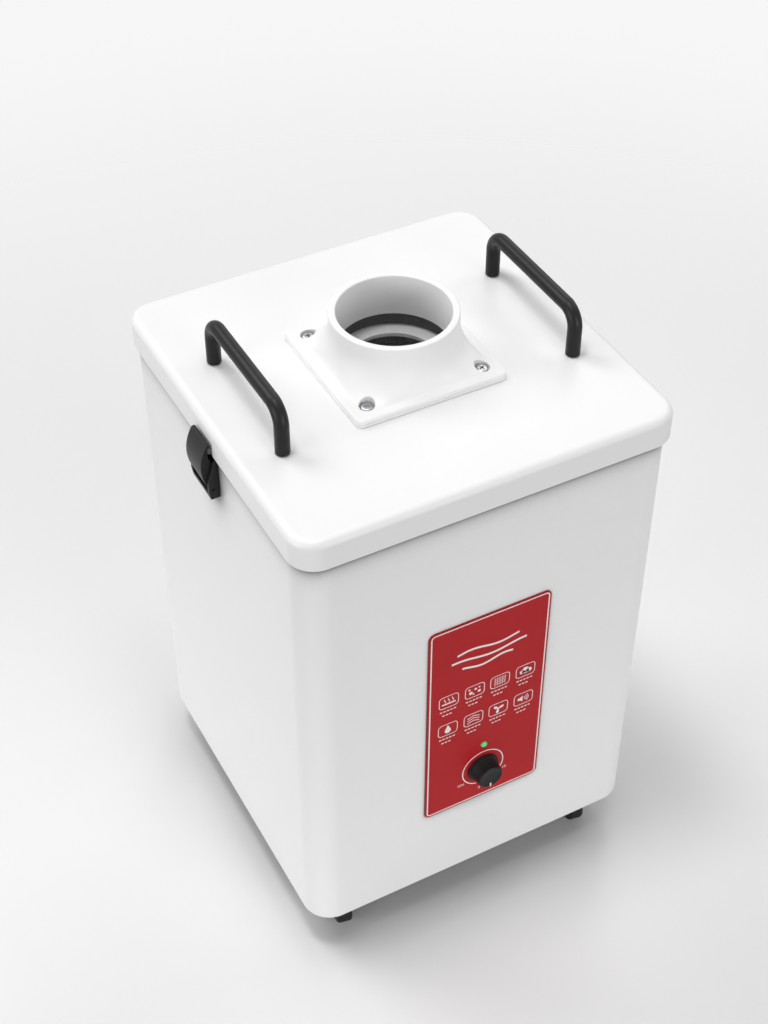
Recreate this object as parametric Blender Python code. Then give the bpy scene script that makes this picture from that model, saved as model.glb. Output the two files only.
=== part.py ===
"""Fume extractor: a filter box on casters, with a blower, a lift-off lid and a hose collar.

Metres, +Z up. The front, with the control panel, faces -Y. The floor is at z = 0, and x = 0, y = 0 is
the middle of everything that the part reaches.
"""
import math

import bmesh
import bpy

for old_object in list(bpy.data.objects):
    bpy.data.objects.remove(old_object, do_unlink=True)

# Fits shared by all the pieces
GAP = 0.0003
RUNNING_GAP = 0.0006
OVERRUN = 0.002
WELD = 0.000001
SMOOTH_ANGLE = math.radians(35)
UPRIGHT = math.pi / 2

# Cabinet
CASTER_HEIGHT = 0.0335
BODY_WIDTH = 0.260
BODY_DEPTH = 0.260
BODY_HEIGHT = 0.3461
BODY_CORNER = 0.0205
BODY_SHEET = 0.0012
BODY_TOP_FLANGE = 0.012
BASE_SHEET = 0.0015
BASE_FLANGE = 0.010
CORNER_STEPS = 6

# Lid
LID_HEIGHT = 0.0214
LID_SHEET = 0.0018
LID_CORNER_TIGHTENING = 0.0041
LID_EDGE_ROUND = 0.0055
LID_EDGE_STEPS = 3
LID_GASKET_HEIGHT = 0.0033
LID_GASKET_WIDTH = 0.009

# Hose collar on its plate, with its screws
PLATE_WIDTH = 0.1062
PLATE_THICKNESS = 0.0055
PLATE_CORNER = 0.0045
PLATE_EDGE_ROUND = 0.001
COLLAR_INSET = 0.0117
COLLAR_HEIGHT = 0.0322
COLLAR_WALL = 0.0047
COLLAR_LIP_ROUND = 0.0009
SKIRT_INSET = 0.005
SKIRT_CORNER = 0.010
SKIRT_HEIGHT = 0.024
SKIRT_STEPS = 5
COLLAR_STEPS = 7
INLET_GASKET_HEIGHT = 0.0074
INLET_GASKET_WALL = 0.002
PLATE_SCREW_INSET = 0.0125
POCKET_RADIUS = 0.0052
POCKET_DEPTH = 0.003
SCREW_SHANK_RADIUS = 0.0019
SCREW_HOLE_RADIUS = 0.0024
SCREW_HEAD_RADIUS = 0.0043
SCREW_HEAD_HEIGHT = 0.0026
SCREW_CROWN_SHARE = 0.75
SCREW_CROSS_WIDTH = 0.0011
SCREW_CROSS_LENGTH = 0.0048
SCREW_CROSS_DEPTH = 0.0013
SCREW_SIDES = 12
BACKING_INSET = 0.0025
BACKING_CORNER = 0.006
BACKING_THICKNESS = 0.003
BACKING_BORE_RADIUS = 0.0293

# Handles
HANDLE_FROM_SIDE = 0.0277
HANDLE_PITCH = 0.100
HANDLE_HEIGHT = 0.0370
HANDLE_ROD = 0.0096
HANDLE_BEND = 0.012
HANDLE_BEND_STEPS = 5
HANDLE_SIDES = 12
HANDLE_FOOT_CHAMFER = 0.0006
HANDLE_THREAD_DEPTH = 0.011
HANDLE_SCREW_REACH = 0.009

# Latches
LATCH_WIDTH = 0.023
LATCH_BULGE = 0.0107
LATCH_BELOW_RIM = 0.0311
LATCH_ABOVE_RIM = 0.0105
LATCH_ARC_RADIUS = 0.034
LATCH_ARC_DROP = 0.0020
LATCH_ARC_STEPS = 8
LATCH_PIVOT_OUT = 0.0045
LATCH_PIVOT_RISE = 0.008
LATCH_PIN_RADIUS = 0.0008
LATCH_PIN_SIDES = 12
LATCH_INNER_OUT = 0.0037
LATCH_TOE = 0.0020
LATCH_CLAW_ENGAGEMENT = 0.0015
LATCH_KEEPER_LOOSENESS = 0.0022
LATCH_EAR_THICKNESS = 0.0022
LATCH_EAR_MARGIN = 0.0004
LATCH_BASE_OUT = 0.0073
LATCH_BLOCK_DROP = 0.0043
LATCH_BACK_THICKNESS = 0.0015
LATCH_BACK_BELOW_RIM = 0.0016
LATCH_BARREL_START = math.radians(140)
LATCH_BARREL_SWEEP = math.radians(150)
LATCH_NECK_SHARE = 1.2
LATCH_EAR_SWEEP = math.radians(100)
LATCH_EAR_NECK_SHARE = 1.6
KEEPER_WIDTH = 0.019
KEEPER_OUT = 0.0028
KEEPER_HEIGHT = 0.0049
KEEPER_ABOVE_RIM = 0.0010

# Control panel, and what is behind it
PANEL_WIDTH = 0.090
PANEL_HEIGHT = 0.183
PANEL_CORNER = 0.0045
PANEL_THICKNESS = 0.0008
PANEL_ABOVE_BASE = 0.0713
KNOB_ABOVE_PANEL_EDGE = 0.0313
KNOB_REACH = 0.0124
KNOB_SKIRT_RADIUS = 0.0120
KNOB_SKIRT_THICKNESS = 0.0012
KNOB_GRIP_RADIUS = 0.0101
KNOB_FACE_RADIUS = 0.0093
KNOB_EDGE_ROUND = 0.0006
KNOB_SIDES = 24
KNOB_BORE_DEPTH = 0.0085
KNOB_POINTER_WIDTH = 0.0012
KNOB_POINTER_LENGTH = 0.0035
KNOB_POINTER_DEPTH = 0.0006
SPINDLE_RADIUS = 0.003
BUSH_WALL = 0.0015
BUSH_SIDES = 14
POT_RADIUS = 0.0085
POT_DEPTH = 0.010
POT_WALL = 0.002
LAMP_ABOVE_KNOB = 0.0236
LAMP_RADIUS = 0.0024
LAMP_DOME_HEIGHT = 0.0014
LAMP_DOME_SHARES = (0.85, 0.45)
LAMP_COLLAR_RADIUS = 0.0032
LAMP_COLLAR_THICKNESS = 0.001
BOARD_WIDTH = 0.062
BOARD_BELOW_KNOB = 0.0272
BOARD_ABOVE_LAMP = 0.006
BOARD_THICKNESS = 0.0016
CHIP_HEIGHT = 0.0085
CHIP_WIDTH = 0.016
CHIP_LENGTH = 0.011
CAPACITOR_RADIUS = 0.004
CAPACITOR_HEIGHT = 0.012
PART_PITCH = 0.0095

# Filters and their shelf
SHELF_ABOVE_LAMP = 0.0131
SHELF_SHEET = 0.0015
SHELF_FLANGE = 0.007
SEAL_THICKNESS = 0.004
SEAL_WIDTH = 0.009
FILTER_MARGIN = 0.002
FILTER_CORNER = 0.012
FILTER_FRAME = 0.009
FILTER_RECESS = 0.004
PRE_FILTER_HEIGHT = 0.025
PLENUM_HEIGHT = 0.037
PLEAT_COUNT = 9
PLEAT_DEPTH = 0.010

# Blower
SCROLL_CENTRE_X = -0.030
SCROLL_START_RADIUS = 0.060
SCROLL_END_RADIUS = 0.088
SCROLL_TONGUE_ANGLE = math.radians(50)
SCROLL_STEPS = 20
SCROLL_WALL = 0.002
SCROLL_HEIGHT = 0.058
SCROLL_ROOM = 0.0077
OUTLET_LIP = 0.002
COVER_THICKNESS = 0.002
NECK_RADIUS = 0.040
NECK_WALL = 0.002
NECK_SIDES = 24
IMPELLER_RADIUS = 0.053
IMPELLER_EYE_RADIUS = 0.036
IMPELLER_ROOM = 0.004
IMPELLER_DISC = 0.002
IMPELLER_SIDES = 24
IMPELLER_HUB_RADIUS = 0.010
IMPELLER_HUB_HEIGHT = 0.018
IMPELLER_BLADES = 12
BLADE_THICKNESS = 0.0014
BLADE_SWEEP = math.radians(12)
SHAFT_RADIUS = 0.003
SHAFT_SIDES = 16
SHAFT_IN_MOTOR = 0.020
MOTOR_RADIUS = 0.027
MOTOR_HEIGHT = 0.045
MOTOR_BOSS_RADIUS = 0.012
MOTOR_EDGE_ROUND = 0.003
MOTOR_SIDES = 20
BRACKET_MARGIN = 0.011
BRACKET_THICKNESS = 0.003
BRACKET_CORNER = 0.010

# Rear wall and power supply
GRILLE_BORDER = 0.010
GRILLE_THICKNESS = 0.004
GRILLE_CORNER = 0.006
GRILLE_SLOTS = 8
GRILLE_SLOT_HEIGHT = 0.0042
INLET_FROM_SIDE = 0.055
INLET_ABOVE_BASE = 0.060
INLET_FLANGE_WIDTH = 0.033
INLET_FLANGE_HEIGHT = 0.026
INLET_FLANGE_THICKNESS = 0.003
INLET_BODY_WIDTH = 0.0274
INLET_BODY_HEIGHT = 0.0200
INLET_BODY_DEPTH = 0.020
INLET_CORNER = 0.004
INLET_STEPS = 3
INLET_SOCKET_WALL = 0.0016
INLET_SOCKET_DEPTH = 0.017
INLET_PIN_LENGTH = 0.011
INLET_PIN_WIDTH = 0.002
INLET_PIN_HEIGHT = 0.004
INLET_PIN_PITCH = 0.007
INLET_PIN_LIFT = 0.0018
SUPPLY_FROM_SIDE = 0.012
SUPPLY_FROM_REAR = 0.024
SUPPLY_WIDTH = 0.042
SUPPLY_DEPTH = 0.070
SUPPLY_HEIGHT = 0.026
SUPPLY_CORNER = 0.002
SUPPLY_GROOVES = 6
SUPPLY_GROOVE_DEPTH = 0.0015
SUPPLY_GROOVE_INSET = 0.006

# Casters
CASTER_INSET = 0.0315
CASTER_TURN = math.radians(-101)
CASTER_TRAIL = 0.010
CASTER_PLATE_LENGTH = 0.032
CASTER_PLATE_WIDTH = 0.024
CASTER_PLATE_THICKNESS = 0.0015
CASTER_PLATE_CORNER = 0.003
CASTER_PLATE_STEPS = 2
CASTER_BOSS_RADIUS = 0.0105
CASTER_BOSS_HEIGHT = 0.0029
CASTER_BOSS_ROUND = 0.0014
CASTER_SIDES = 16
KINGPIN_RADIUS = 0.0025
KINGPIN_HEAD_RADIUS = 0.0045
KINGPIN_HEAD_HEIGHT = 0.0012
FORK_SHEET = 0.0014
FORK_FRONT = 0.0085
FORK_REAR = 0.0105
FORK_EYE_RADIUS = 0.0042
FORK_EYE_START = math.radians(200)
FORK_EYE_SWEEP = math.radians(170)
FORK_EYE_STEPS = 6
WHEEL_ROOM = 0.0018
WHEEL_WIDTH = 0.0115
WHEEL_TREAD_ROUND = 0.0025
WHEEL_RIM = 0.0042
WHEEL_HUB_RADIUS = 0.0042
WHEEL_RECESS = 0.0014
WHEEL_SIDES = 16
AXLE_RADIUS = 0.002
AXLE_HEAD_RADIUS = 0.0032
AXLE_HEAD_THICKNESS = 0.0012
AXLE_SIDES = 12

# Heights from the floor up
base_bottom = CASTER_HEIGHT
base_top = base_bottom + BASE_SHEET
rim_bottom = base_bottom + BODY_HEIGHT
lid_top = rim_bottom + LID_HEIGHT
lid_underside = lid_top - LID_SHEET
lid_gasket_bottom = lid_underside - GAP - LID_GASKET_HEIGHT
wall_top = lid_gasket_bottom - GAP
plate_bottom = lid_top + GAP
plate_top = lid_top + PLATE_THICKNESS
mouth = plate_top + COLLAR_HEIGHT
backing_top = lid_underside - GAP
backing_bottom = backing_top - BACKING_THICKNESS
panel_bottom = base_bottom + PANEL_ABOVE_BASE
knob_height = panel_bottom + KNOB_ABOVE_PANEL_EDGE
lamp_height = knob_height + LAMP_ABOVE_KNOB
shelf_top = lamp_height + SHELF_ABOVE_LAMP
shelf_bottom = shelf_top - SHELF_SHEET
main_filter_bottom = shelf_top + GAP + SEAL_THICKNESS + GAP
pre_filter_top = backing_bottom - PLENUM_HEIGHT
pre_filter_bottom = pre_filter_top - PRE_FILTER_HEIGHT
main_filter_top = pre_filter_bottom - GAP
bracket_bottom = base_top + GAP
bracket_top = bracket_bottom + BRACKET_THICKNESS
motor_bottom = bracket_top + GAP
motor_top = motor_bottom + MOTOR_HEIGHT
scroll_bottom = motor_top + GAP
scroll_floor = scroll_bottom + SCROLL_WALL
scroll_top = scroll_floor + SCROLL_HEIGHT
cover_bottom = scroll_top + GAP
cover_top = cover_bottom + COVER_THICKNESS

# Half sizes across, seen from above
body_half_x = BODY_WIDTH / 2
body_half_y = BODY_DEPTH / 2
inside_half_x = body_half_x - BODY_SHEET
inside_half_y = body_half_y - BODY_SHEET
inside_corner = BODY_CORNER - BODY_SHEET
lid_half_x = body_half_x + GAP + LID_SHEET
lid_half_y = body_half_y + GAP + LID_SHEET
lid_corner = BODY_CORNER + GAP + LID_SHEET - LID_CORNER_TIGHTENING
handle_spacing = BODY_WIDTH - 2 * HANDLE_FROM_SIDE
filter_half_x = inside_half_x - BODY_TOP_FLANGE - FILTER_MARGIN
filter_half_y = inside_half_y - BODY_TOP_FLANGE - FILTER_MARGIN
plate_half = PLATE_WIDTH / 2
collar_radius = plate_half - COLLAR_INSET
collar_bore = collar_radius - COLLAR_WALL
plate_screw_pitch = PLATE_WIDTH - 2 * PLATE_SCREW_INSET
bush_radius = SPINDLE_RADIUS + GAP + BUSH_WALL

# Depths behind the front wall
board_front = BODY_SHEET + GAP + POT_DEPTH + GAP
board_back = board_front + BOARD_THICKNESS + CAPACITOR_HEIGHT


def scroll_radius(angle):
    """Inner radius of the scroll wall, which opens evenly from its tongue round to the outlet."""
    share = (angle - SCROLL_TONGUE_ANGLE) / (2 * math.pi - SCROLL_TONGUE_ANGLE)
    return SCROLL_START_RADIUS + share * (SCROLL_END_RADIUS - SCROLL_START_RADIUS)


front_of_scroll = scroll_radius(3 * math.pi / 2) + SCROLL_WALL
scroll_x = SCROLL_CENTRE_X
scroll_y = -body_half_y + board_back + SCROLL_ROOM + front_of_scroll
duct_low = scroll_x + SCROLL_START_RADIUS * math.cos(SCROLL_TONGUE_ANGLE)
duct_high = scroll_x + SCROLL_END_RADIUS
duct_end = inside_half_y - GAP
duct_middle = ((duct_low + duct_high) / 2, (scroll_floor + scroll_top) / 2)
outlet_half_x = (duct_high - duct_low) / 2 - OUTLET_LIP
outlet_half_z = SCROLL_HEIGHT / 2 - OUTLET_LIP
front_reach = body_half_y + KNOB_REACH
rear_reach = body_half_y + GAP + GRILLE_THICKNESS

# Name, colour, roughness and metallic value of each finish
WHITE = ("white_powder_coat", (0.86, 0.86, 0.86), 0.45, 0.0)
BLACK_METAL = ("black_coated_metal", (0.025, 0.025, 0.027), 0.45, 0.0)
BLACK_PLASTIC = ("black_plastic", (0.030, 0.030, 0.032), 0.42, 0.0)
RED = ("red_panel", (0.38, 0.030, 0.032), 0.40, 0.0)
STEEL = ("bright_steel", (0.62, 0.62, 0.63), 0.30, 1.0)
CHROME = ("chrome", (0.80, 0.80, 0.82), 0.15, 1.0)
ZINC = ("zinc_plated_sheet", (0.55, 0.56, 0.57), 0.45, 1.0)
RUBBER = ("dark_rubber", (0.035, 0.035, 0.037), 0.80, 0.0)
TYRE = ("caster_tyre", (0.020, 0.020, 0.022), 0.65, 0.0)
FOAM = ("grey_foam", (0.10, 0.10, 0.11), 0.95, 0.0)
GREEN = ("green_lens", (0.10, 0.75, 0.25), 0.25, 0.0)
BOARD_GREEN = ("circuit_board", (0.02, 0.16, 0.07), 0.55, 0.0)
FLEECE = ("filter_fleece", (0.80, 0.81, 0.80), 0.95, 0.0)
CARTRIDGE = ("filter_cartridge", (0.62, 0.60, 0.55), 0.80, 0.0)
MOULDING = ("grey_moulding", (0.16, 0.165, 0.17), 0.55, 0.0)
CASE = ("supply_case", (0.50, 0.51, 0.52), 0.50, 1.0)

# The origin is the middle of the part's whole depth, so the cabinet stands back by half of what the
# knob reaches further than the grille.
assembly = bpy.data.objects.new("assembly", None)
assembly.location = (0, (front_reach - rear_reach) / 2, 0)
bpy.context.collection.objects.link(assembly)

FACING_FRONT = (UPRIGHT, 0, 0)
FACING_REAR = (UPRIGHT, 0, math.pi)
UPSIDE_DOWN = (math.pi, 0, 0)


def finish(name, colour, roughness, metallic):
    """Return the named Principled material."""
    if name not in bpy.data.materials:
        material = bpy.data.materials.new(name)
        material.use_nodes = True
        shader = material.node_tree.nodes["Principled BSDF"]
        shader.inputs["Base Color"].default_value = (*colour, 1)
        shader.inputs["Roughness"].default_value = roughness
        shader.inputs["Metallic"].default_value = metallic
        material.diffuse_color = (*colour, 1)
    return bpy.data.materials[name]


def pivot(name, location, turn=(0, 0, 0), parent=assembly):
    """Add an empty that places pieces together."""
    marker = bpy.data.objects.new(name, None)
    marker.location = location
    marker.rotation_euler = turn
    marker.parent = parent
    bpy.context.collection.objects.link(marker)
    return marker


def add(name, bm, look, parent=assembly, location=(0, 0, 0), turn=(0, 0, 0)):
    """Turn a bmesh into a named object with its material."""
    bmesh.ops.remove_doubles(bm, verts=bm.verts, dist=WELD)
    bmesh.ops.recalc_face_normals(bm, faces=bm.faces)
    mesh = bpy.data.meshes.new(name)
    bm.to_mesh(mesh)
    bm.free()
    mesh.shade_smooth()
    mesh.set_sharp_from_angle(angle=SMOOTH_ANGLE)
    piece = bpy.data.objects.new(name, mesh)
    piece.location = location
    piece.rotation_euler = turn
    piece.parent = parent
    if look:
        mesh.materials.append(finish(*look))
    bpy.context.collection.objects.link(piece)
    return piece


def combine(piece, other, operation):
    """Cut, join or intersect a piece with another solid, which is hidden afterwards."""
    other.hide_render = True
    other.display_type = "WIRE"
    boolean = piece.modifiers.new(other.name, "BOOLEAN")
    boolean.operation = operation
    boolean.solver = "EXACT"
    boolean.object = other


def rounded(half_x, half_y, corner, height, steps=CORNER_STEPS, centre=(0, 0)):
    """Points of a rounded rectangle at one height."""
    points = []
    for quarter, (sign_x, sign_y) in enumerate(((1, 1), (-1, 1), (-1, -1), (1, -1))):
        for step in range(steps + 1):
            angle = math.pi / 2 * (quarter + step / steps)
            x = centre[0] + sign_x * (half_x - corner) + corner * math.cos(angle)
            y = centre[1] + sign_y * (half_y - corner) + corner * math.sin(angle)
            points.append((x, y, height))
    return points


def circle(radius, height, sides, centre=(0, 0), phase=0.0):
    """Points of a circle at one height."""
    points = []
    for side in range(sides):
        angle = 2 * math.pi * (side + phase) / sides
        x = centre[0] + radius * math.cos(angle)
        y = centre[1] + radius * math.sin(angle)
        points.append((x, y, height))
    return points


def loft(loops, closed=False, bm=None):
    """Skin a row of loops of equal count: a closed row makes a ring, an open one is capped."""
    bm = bm or bmesh.new()
    rows = [[bm.verts.new(point) for point in loop] for loop in loops]
    pairs = list(zip(rows, rows[1:]))
    if closed:
        pairs.append((rows[-1], rows[0]))
    for low, high in pairs:
        for index, corner in enumerate(low):
            after = (index + 1) % len(low)
            bm.faces.new((corner, low[after], high[after], high[index]))
    if not closed:
        bm.faces.new(rows[0])
        bm.faces.new(rows[-1])
    return bm


def turned(profile, sides, phase=0.0):
    """Turn a profile of (radius, height) points about Z; one that starts off the axis is a ring."""
    loops = [circle(radius, height, sides, phase=phase) for radius, height in profile if radius > 0]
    return loft(loops, closed=profile[0][0] > 0)


def prism(outline, low, high, bm=None):
    """Extrude an outline of (x, y) points from one height to another."""
    return loft([[(point[0], point[1], height) for point in outline] for height in (low, high)], bm=bm)


def sideways(outline, near, far, bm=None):
    """Extrude an outline of (x, z) points from one y to another."""
    return loft([[(out, y, up) for out, up in outline] for y in (near, far)], bm=bm)


def rectangle(half_x, half_y, centre=(0, 0)):
    """Corners of a plain rectangle."""
    x, y = centre
    signs = ((-1, -1), (1, -1), (1, 1), (-1, 1))
    return [(x + sign_x * half_x, y + sign_y * half_y) for sign_x, sign_y in signs]


def drill(piece, name, places, radius, low, high, sides=SCREW_SIDES, **place):
    """Drill round holes through a piece at several (x, y) places."""
    bm = bmesh.new()
    for centre in places:
        prism(circle(radius, 0, sides, centre), low, high, bm)
    combine(piece, add(name, bm, None, **place), "DIFFERENCE")


def slab(outer, openings, low, high):
    """A plate with openings: its outlines are filled and then extruded."""
    bm = bmesh.new()
    edges = []
    for outline in (outer, *openings):
        points = [bm.verts.new((point[0], point[1], low)) for point in outline]
        edges += [bm.edges.new((points[index - 1], points[index])) for index in range(len(points))]
    bmesh.ops.triangle_fill(bm, use_beauty=True, use_dissolve=False, edges=edges, normal=(0, 0, 1))
    grown = bmesh.ops.extrude_face_region(bm, geom=bm.faces[:])
    moved = [item for item in grown["geom"] if isinstance(item, bmesh.types.BMVert)]
    bmesh.ops.translate(bm, verts=moved, vec=(0, 0, high - low))
    return bm


def four_corners(pitch_x, pitch_y):
    """The four corners of a rectangle of that pitch."""
    return [(sign_x * pitch_x / 2, sign_y * pitch_y / 2) for sign_y in (-1, 1) for sign_x in (-1, 1)]


def make_cabinet():
    """Folded wrap with an inward flange at its top, and the tray that closes its bottom."""
    flange_x = inside_half_x - BODY_TOP_FLANGE
    flange_y = inside_half_y - BODY_TOP_FLANGE
    flange_bottom = wall_top - BODY_SHEET
    wrap = add("cabinet_shell", loft([
        rounded(body_half_x, body_half_y, BODY_CORNER, base_bottom),
        rounded(body_half_x, body_half_y, BODY_CORNER, wall_top),
        rounded(flange_x, flange_y, FILTER_CORNER, wall_top),
        rounded(flange_x, flange_y, FILTER_CORNER, flange_bottom),
        rounded(inside_half_x, inside_half_y, inside_corner, flange_bottom),
        rounded(inside_half_x, inside_half_y, inside_corner, base_bottom),
    ], closed=True), WHITE)
    half_x = inside_half_x - GAP
    half_y = inside_half_y - GAP
    corner = inside_corner - GAP
    tray_top = base_top + BASE_FLANGE
    add("base_tray", loft([
        rounded(half_x, half_y, corner, base_bottom),
        rounded(half_x, half_y, corner, tray_top),
        rounded(half_x - BASE_SHEET, half_y - BASE_SHEET, corner - BASE_SHEET, tray_top),
        rounded(half_x - BASE_SHEET, half_y - BASE_SHEET, corner - BASE_SHEET, base_top),
    ]), WHITE)
    return wrap


def make_lid():
    """Shallow lid with a rounded top edge, its gasket, and the backing plate under the collar."""
    inner_x = lid_half_x - LID_SHEET
    inner_y = lid_half_y - LID_SHEET
    inner_corner = lid_corner - LID_SHEET
    loops = [
        rounded(inner_x, inner_y, inner_corner, lid_underside),
        rounded(inner_x, inner_y, inner_corner, rim_bottom),
        rounded(lid_half_x, lid_half_y, lid_corner, rim_bottom),
    ]
    for step in range(LID_EDGE_STEPS + 1):
        angle = math.pi / 2 * step / LID_EDGE_STEPS
        inset = LID_EDGE_ROUND * (1 - math.cos(angle))
        height = lid_top - LID_EDGE_ROUND * (1 - math.sin(angle))
        loops.append(rounded(lid_half_x - inset, lid_half_y - inset, lid_corner - inset, height))
    lid = add("lid_shell", loft(loops), WHITE)
    low = lid_underside - OVERRUN
    high = lid_top + OVERRUN
    drill(lid, "lid_inlet_cut", [(0, 0)], collar_radius, low, high, 4 * COLLAR_STEPS)
    plate_screws = four_corners(plate_screw_pitch, plate_screw_pitch)
    handle_screws = four_corners(handle_spacing, HANDLE_PITCH)
    drill(lid, "lid_screw_cut", plate_screws + handle_screws, SCREW_HOLE_RADIUS, low, high)

    outer_x = body_half_x - GAP
    outer_y = body_half_y - GAP
    corner = BODY_CORNER - GAP
    gasket_top = lid_gasket_bottom + LID_GASKET_HEIGHT
    gasket = []
    for inset, height in ((0, lid_gasket_bottom), (0, gasket_top), (LID_GASKET_WIDTH, gasket_top),
                          (LID_GASKET_WIDTH, lid_gasket_bottom)):
        gasket.append(rounded(outer_x - inset, outer_y - inset, corner - inset, height))
    add("lid_gasket", loft(gasket, closed=True), RUBBER)

    half = plate_half - BACKING_INSET
    backing = add("collar_backing_plate", slab(
        rounded(half, half, BACKING_CORNER, 0, INLET_STEPS),
        [circle(BACKING_BORE_RADIUS, 0, 4 * COLLAR_STEPS)],
        backing_bottom, backing_top), ZINC)
    drill(backing, "backing_screw_cut", plate_screws, SCREW_HOLE_RADIUS, backing_bottom - OVERRUN,
          backing_top + OVERRUN)


def make_screw(name, location, turn, shank):
    """Pan-head screw with a cross recess; its head stands on its origin and its shank runs down."""
    screw = add(name, turned([
        (0, -shank),
        (SCREW_SHANK_RADIUS, -shank),
        (SCREW_SHANK_RADIUS, 0),
        (SCREW_HEAD_RADIUS, 0),
        (SCREW_HEAD_RADIUS, SCREW_HEAD_HEIGHT / 2),
        (SCREW_HEAD_RADIUS * SCREW_CROWN_SHARE, SCREW_HEAD_HEIGHT),
    ], SCREW_SIDES), STEEL, location=location, turn=turn)
    reach = SCREW_CROSS_LENGTH / 2
    slim = SCREW_CROSS_WIDTH / 2
    cross = [
        (reach, -slim), (reach, slim), (slim, slim), (slim, reach), (-slim, reach), (-slim, slim),
        (-reach, slim), (-reach, -slim), (-slim, -slim), (-slim, -reach), (slim, -reach), (slim, -slim),
    ]
    recess = prism(cross, SCREW_HEAD_HEIGHT - SCREW_CROSS_DEPTH, SCREW_HEAD_HEIGHT + OVERRUN)
    combine(screw, add(name + "_recess_cut", recess, None, location=location, turn=turn), "DIFFERENCE")


def make_collar():
    """Square plate that rises in a hollow sweep to the round hose collar, and the ring under it."""
    recess = collar_radius + INLET_GASKET_WALL + GAP
    gasket_top = plate_bottom + INLET_GASKET_HEIGHT
    skirt_top = plate_top + SKIRT_HEIGHT
    skirt_half = plate_half - SKIRT_INSET

    def square(half, corner, height):
        return rounded(half, half, corner, height, COLLAR_STEPS)

    def ring(radius, height):
        return square(radius, radius, height)

    loops = [
        ring(recess, plate_bottom),
        ring(recess, gasket_top + GAP),
        ring(collar_bore, gasket_top + GAP),
        ring(collar_bore, mouth - COLLAR_LIP_ROUND),
        ring(collar_bore + COLLAR_LIP_ROUND, mouth),
        ring(collar_radius - COLLAR_LIP_ROUND, mouth),
        ring(collar_radius, mouth - COLLAR_LIP_ROUND),
    ]
    for step in range(SKIRT_STEPS + 1):
        angle = math.pi / 2 * step / SKIRT_STEPS
        spread = 1 - math.cos(angle)
        half = collar_radius + spread * (skirt_half - collar_radius)
        corner = collar_radius + spread * (SKIRT_CORNER - collar_radius)
        loops.append(square(half, corner, skirt_top - SKIRT_HEIGHT * math.sin(angle)))
    loops += [
        square(plate_half - PLATE_EDGE_ROUND, PLATE_CORNER - PLATE_EDGE_ROUND, plate_top),
        square(plate_half, PLATE_CORNER, plate_top - PLATE_EDGE_ROUND),
        square(plate_half, PLATE_CORNER, plate_bottom),
    ]
    collar = add("hose_collar", loft(loops, closed=True), WHITE)
    places = four_corners(plate_screw_pitch, plate_screw_pitch)
    pocket_floor = plate_top - POCKET_DEPTH
    drill(collar, "collar_pocket_cut", places, POCKET_RADIUS, pocket_floor, mouth, 2 * SCREW_SIDES)
    drill(collar, "collar_screw_cut", places, SCREW_HOLE_RADIUS, plate_bottom - OVERRUN,
          pocket_floor + OVERRUN)

    outer = collar_radius + INLET_GASKET_WALL
    add("inlet_gasket", loft([
        ring(outer, plate_bottom),
        ring(outer, gasket_top),
        ring(collar_radius, gasket_top),
        ring(collar_radius, plate_bottom),
    ], closed=True), RUBBER)
    for number, (x, y) in enumerate(places, 1):
        head = pocket_floor + GAP
        make_screw(f"collar_screw_{number}", (x, y, head), (0, 0, number), head - backing_bottom)


def make_handle(name, x):
    """Bent rod with two upright legs; its screws come up from under the lid."""
    half_pitch = HANDLE_PITCH / 2
    radius = HANDLE_ROD / 2
    foot = lid_top + GAP
    bend_height = lid_top + HANDLE_HEIGHT - radius - HANDLE_BEND
    slim = radius - HANDLE_FOOT_CHAMFER
    path = [(-half_pitch, foot, 0, slim), (-half_pitch, foot + HANDLE_FOOT_CHAMFER, 0, radius)]
    for corner in (-1, 1):
        for step in range(HANDLE_BEND_STEPS + 1):
            lean = math.pi / 2 * (step / HANDLE_BEND_STEPS + (corner > 0))
            y = corner * (half_pitch - HANDLE_BEND) - HANDLE_BEND * math.cos(lean)
            path.append((y, bend_height + HANDLE_BEND * math.sin(lean), lean, radius))
    path += [(half_pitch, foot + HANDLE_FOOT_CHAMFER, math.pi, radius), (half_pitch, foot, math.pi, slim)]
    loops = []
    for y, z, lean, reach in path:
        ring = []
        for side in range(HANDLE_SIDES):
            angle = 2 * math.pi * side / HANDLE_SIDES
            out = x + reach * math.cos(angle)
            across = reach * math.sin(angle)
            ring.append((out, y + across * math.cos(lean), z - across * math.sin(lean)))
        loops.append(ring)
    handle = add(name, loft(loops), BLACK_METAL)
    feet = [(x, -half_pitch), (x, half_pitch)]
    drill(handle, name + "_thread_cut", feet, SCREW_HOLE_RADIUS, foot - OVERRUN, foot + HANDLE_THREAD_DEPTH)
    head = lid_underside - GAP
    shank = lid_top - head + HANDLE_SCREW_REACH
    for number, (foot_x, foot_y) in enumerate(feet, 1):
        make_screw(f"{name}_screw_{number}", (foot_x, foot_y, head), UPSIDE_DOWN, shank)


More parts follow.
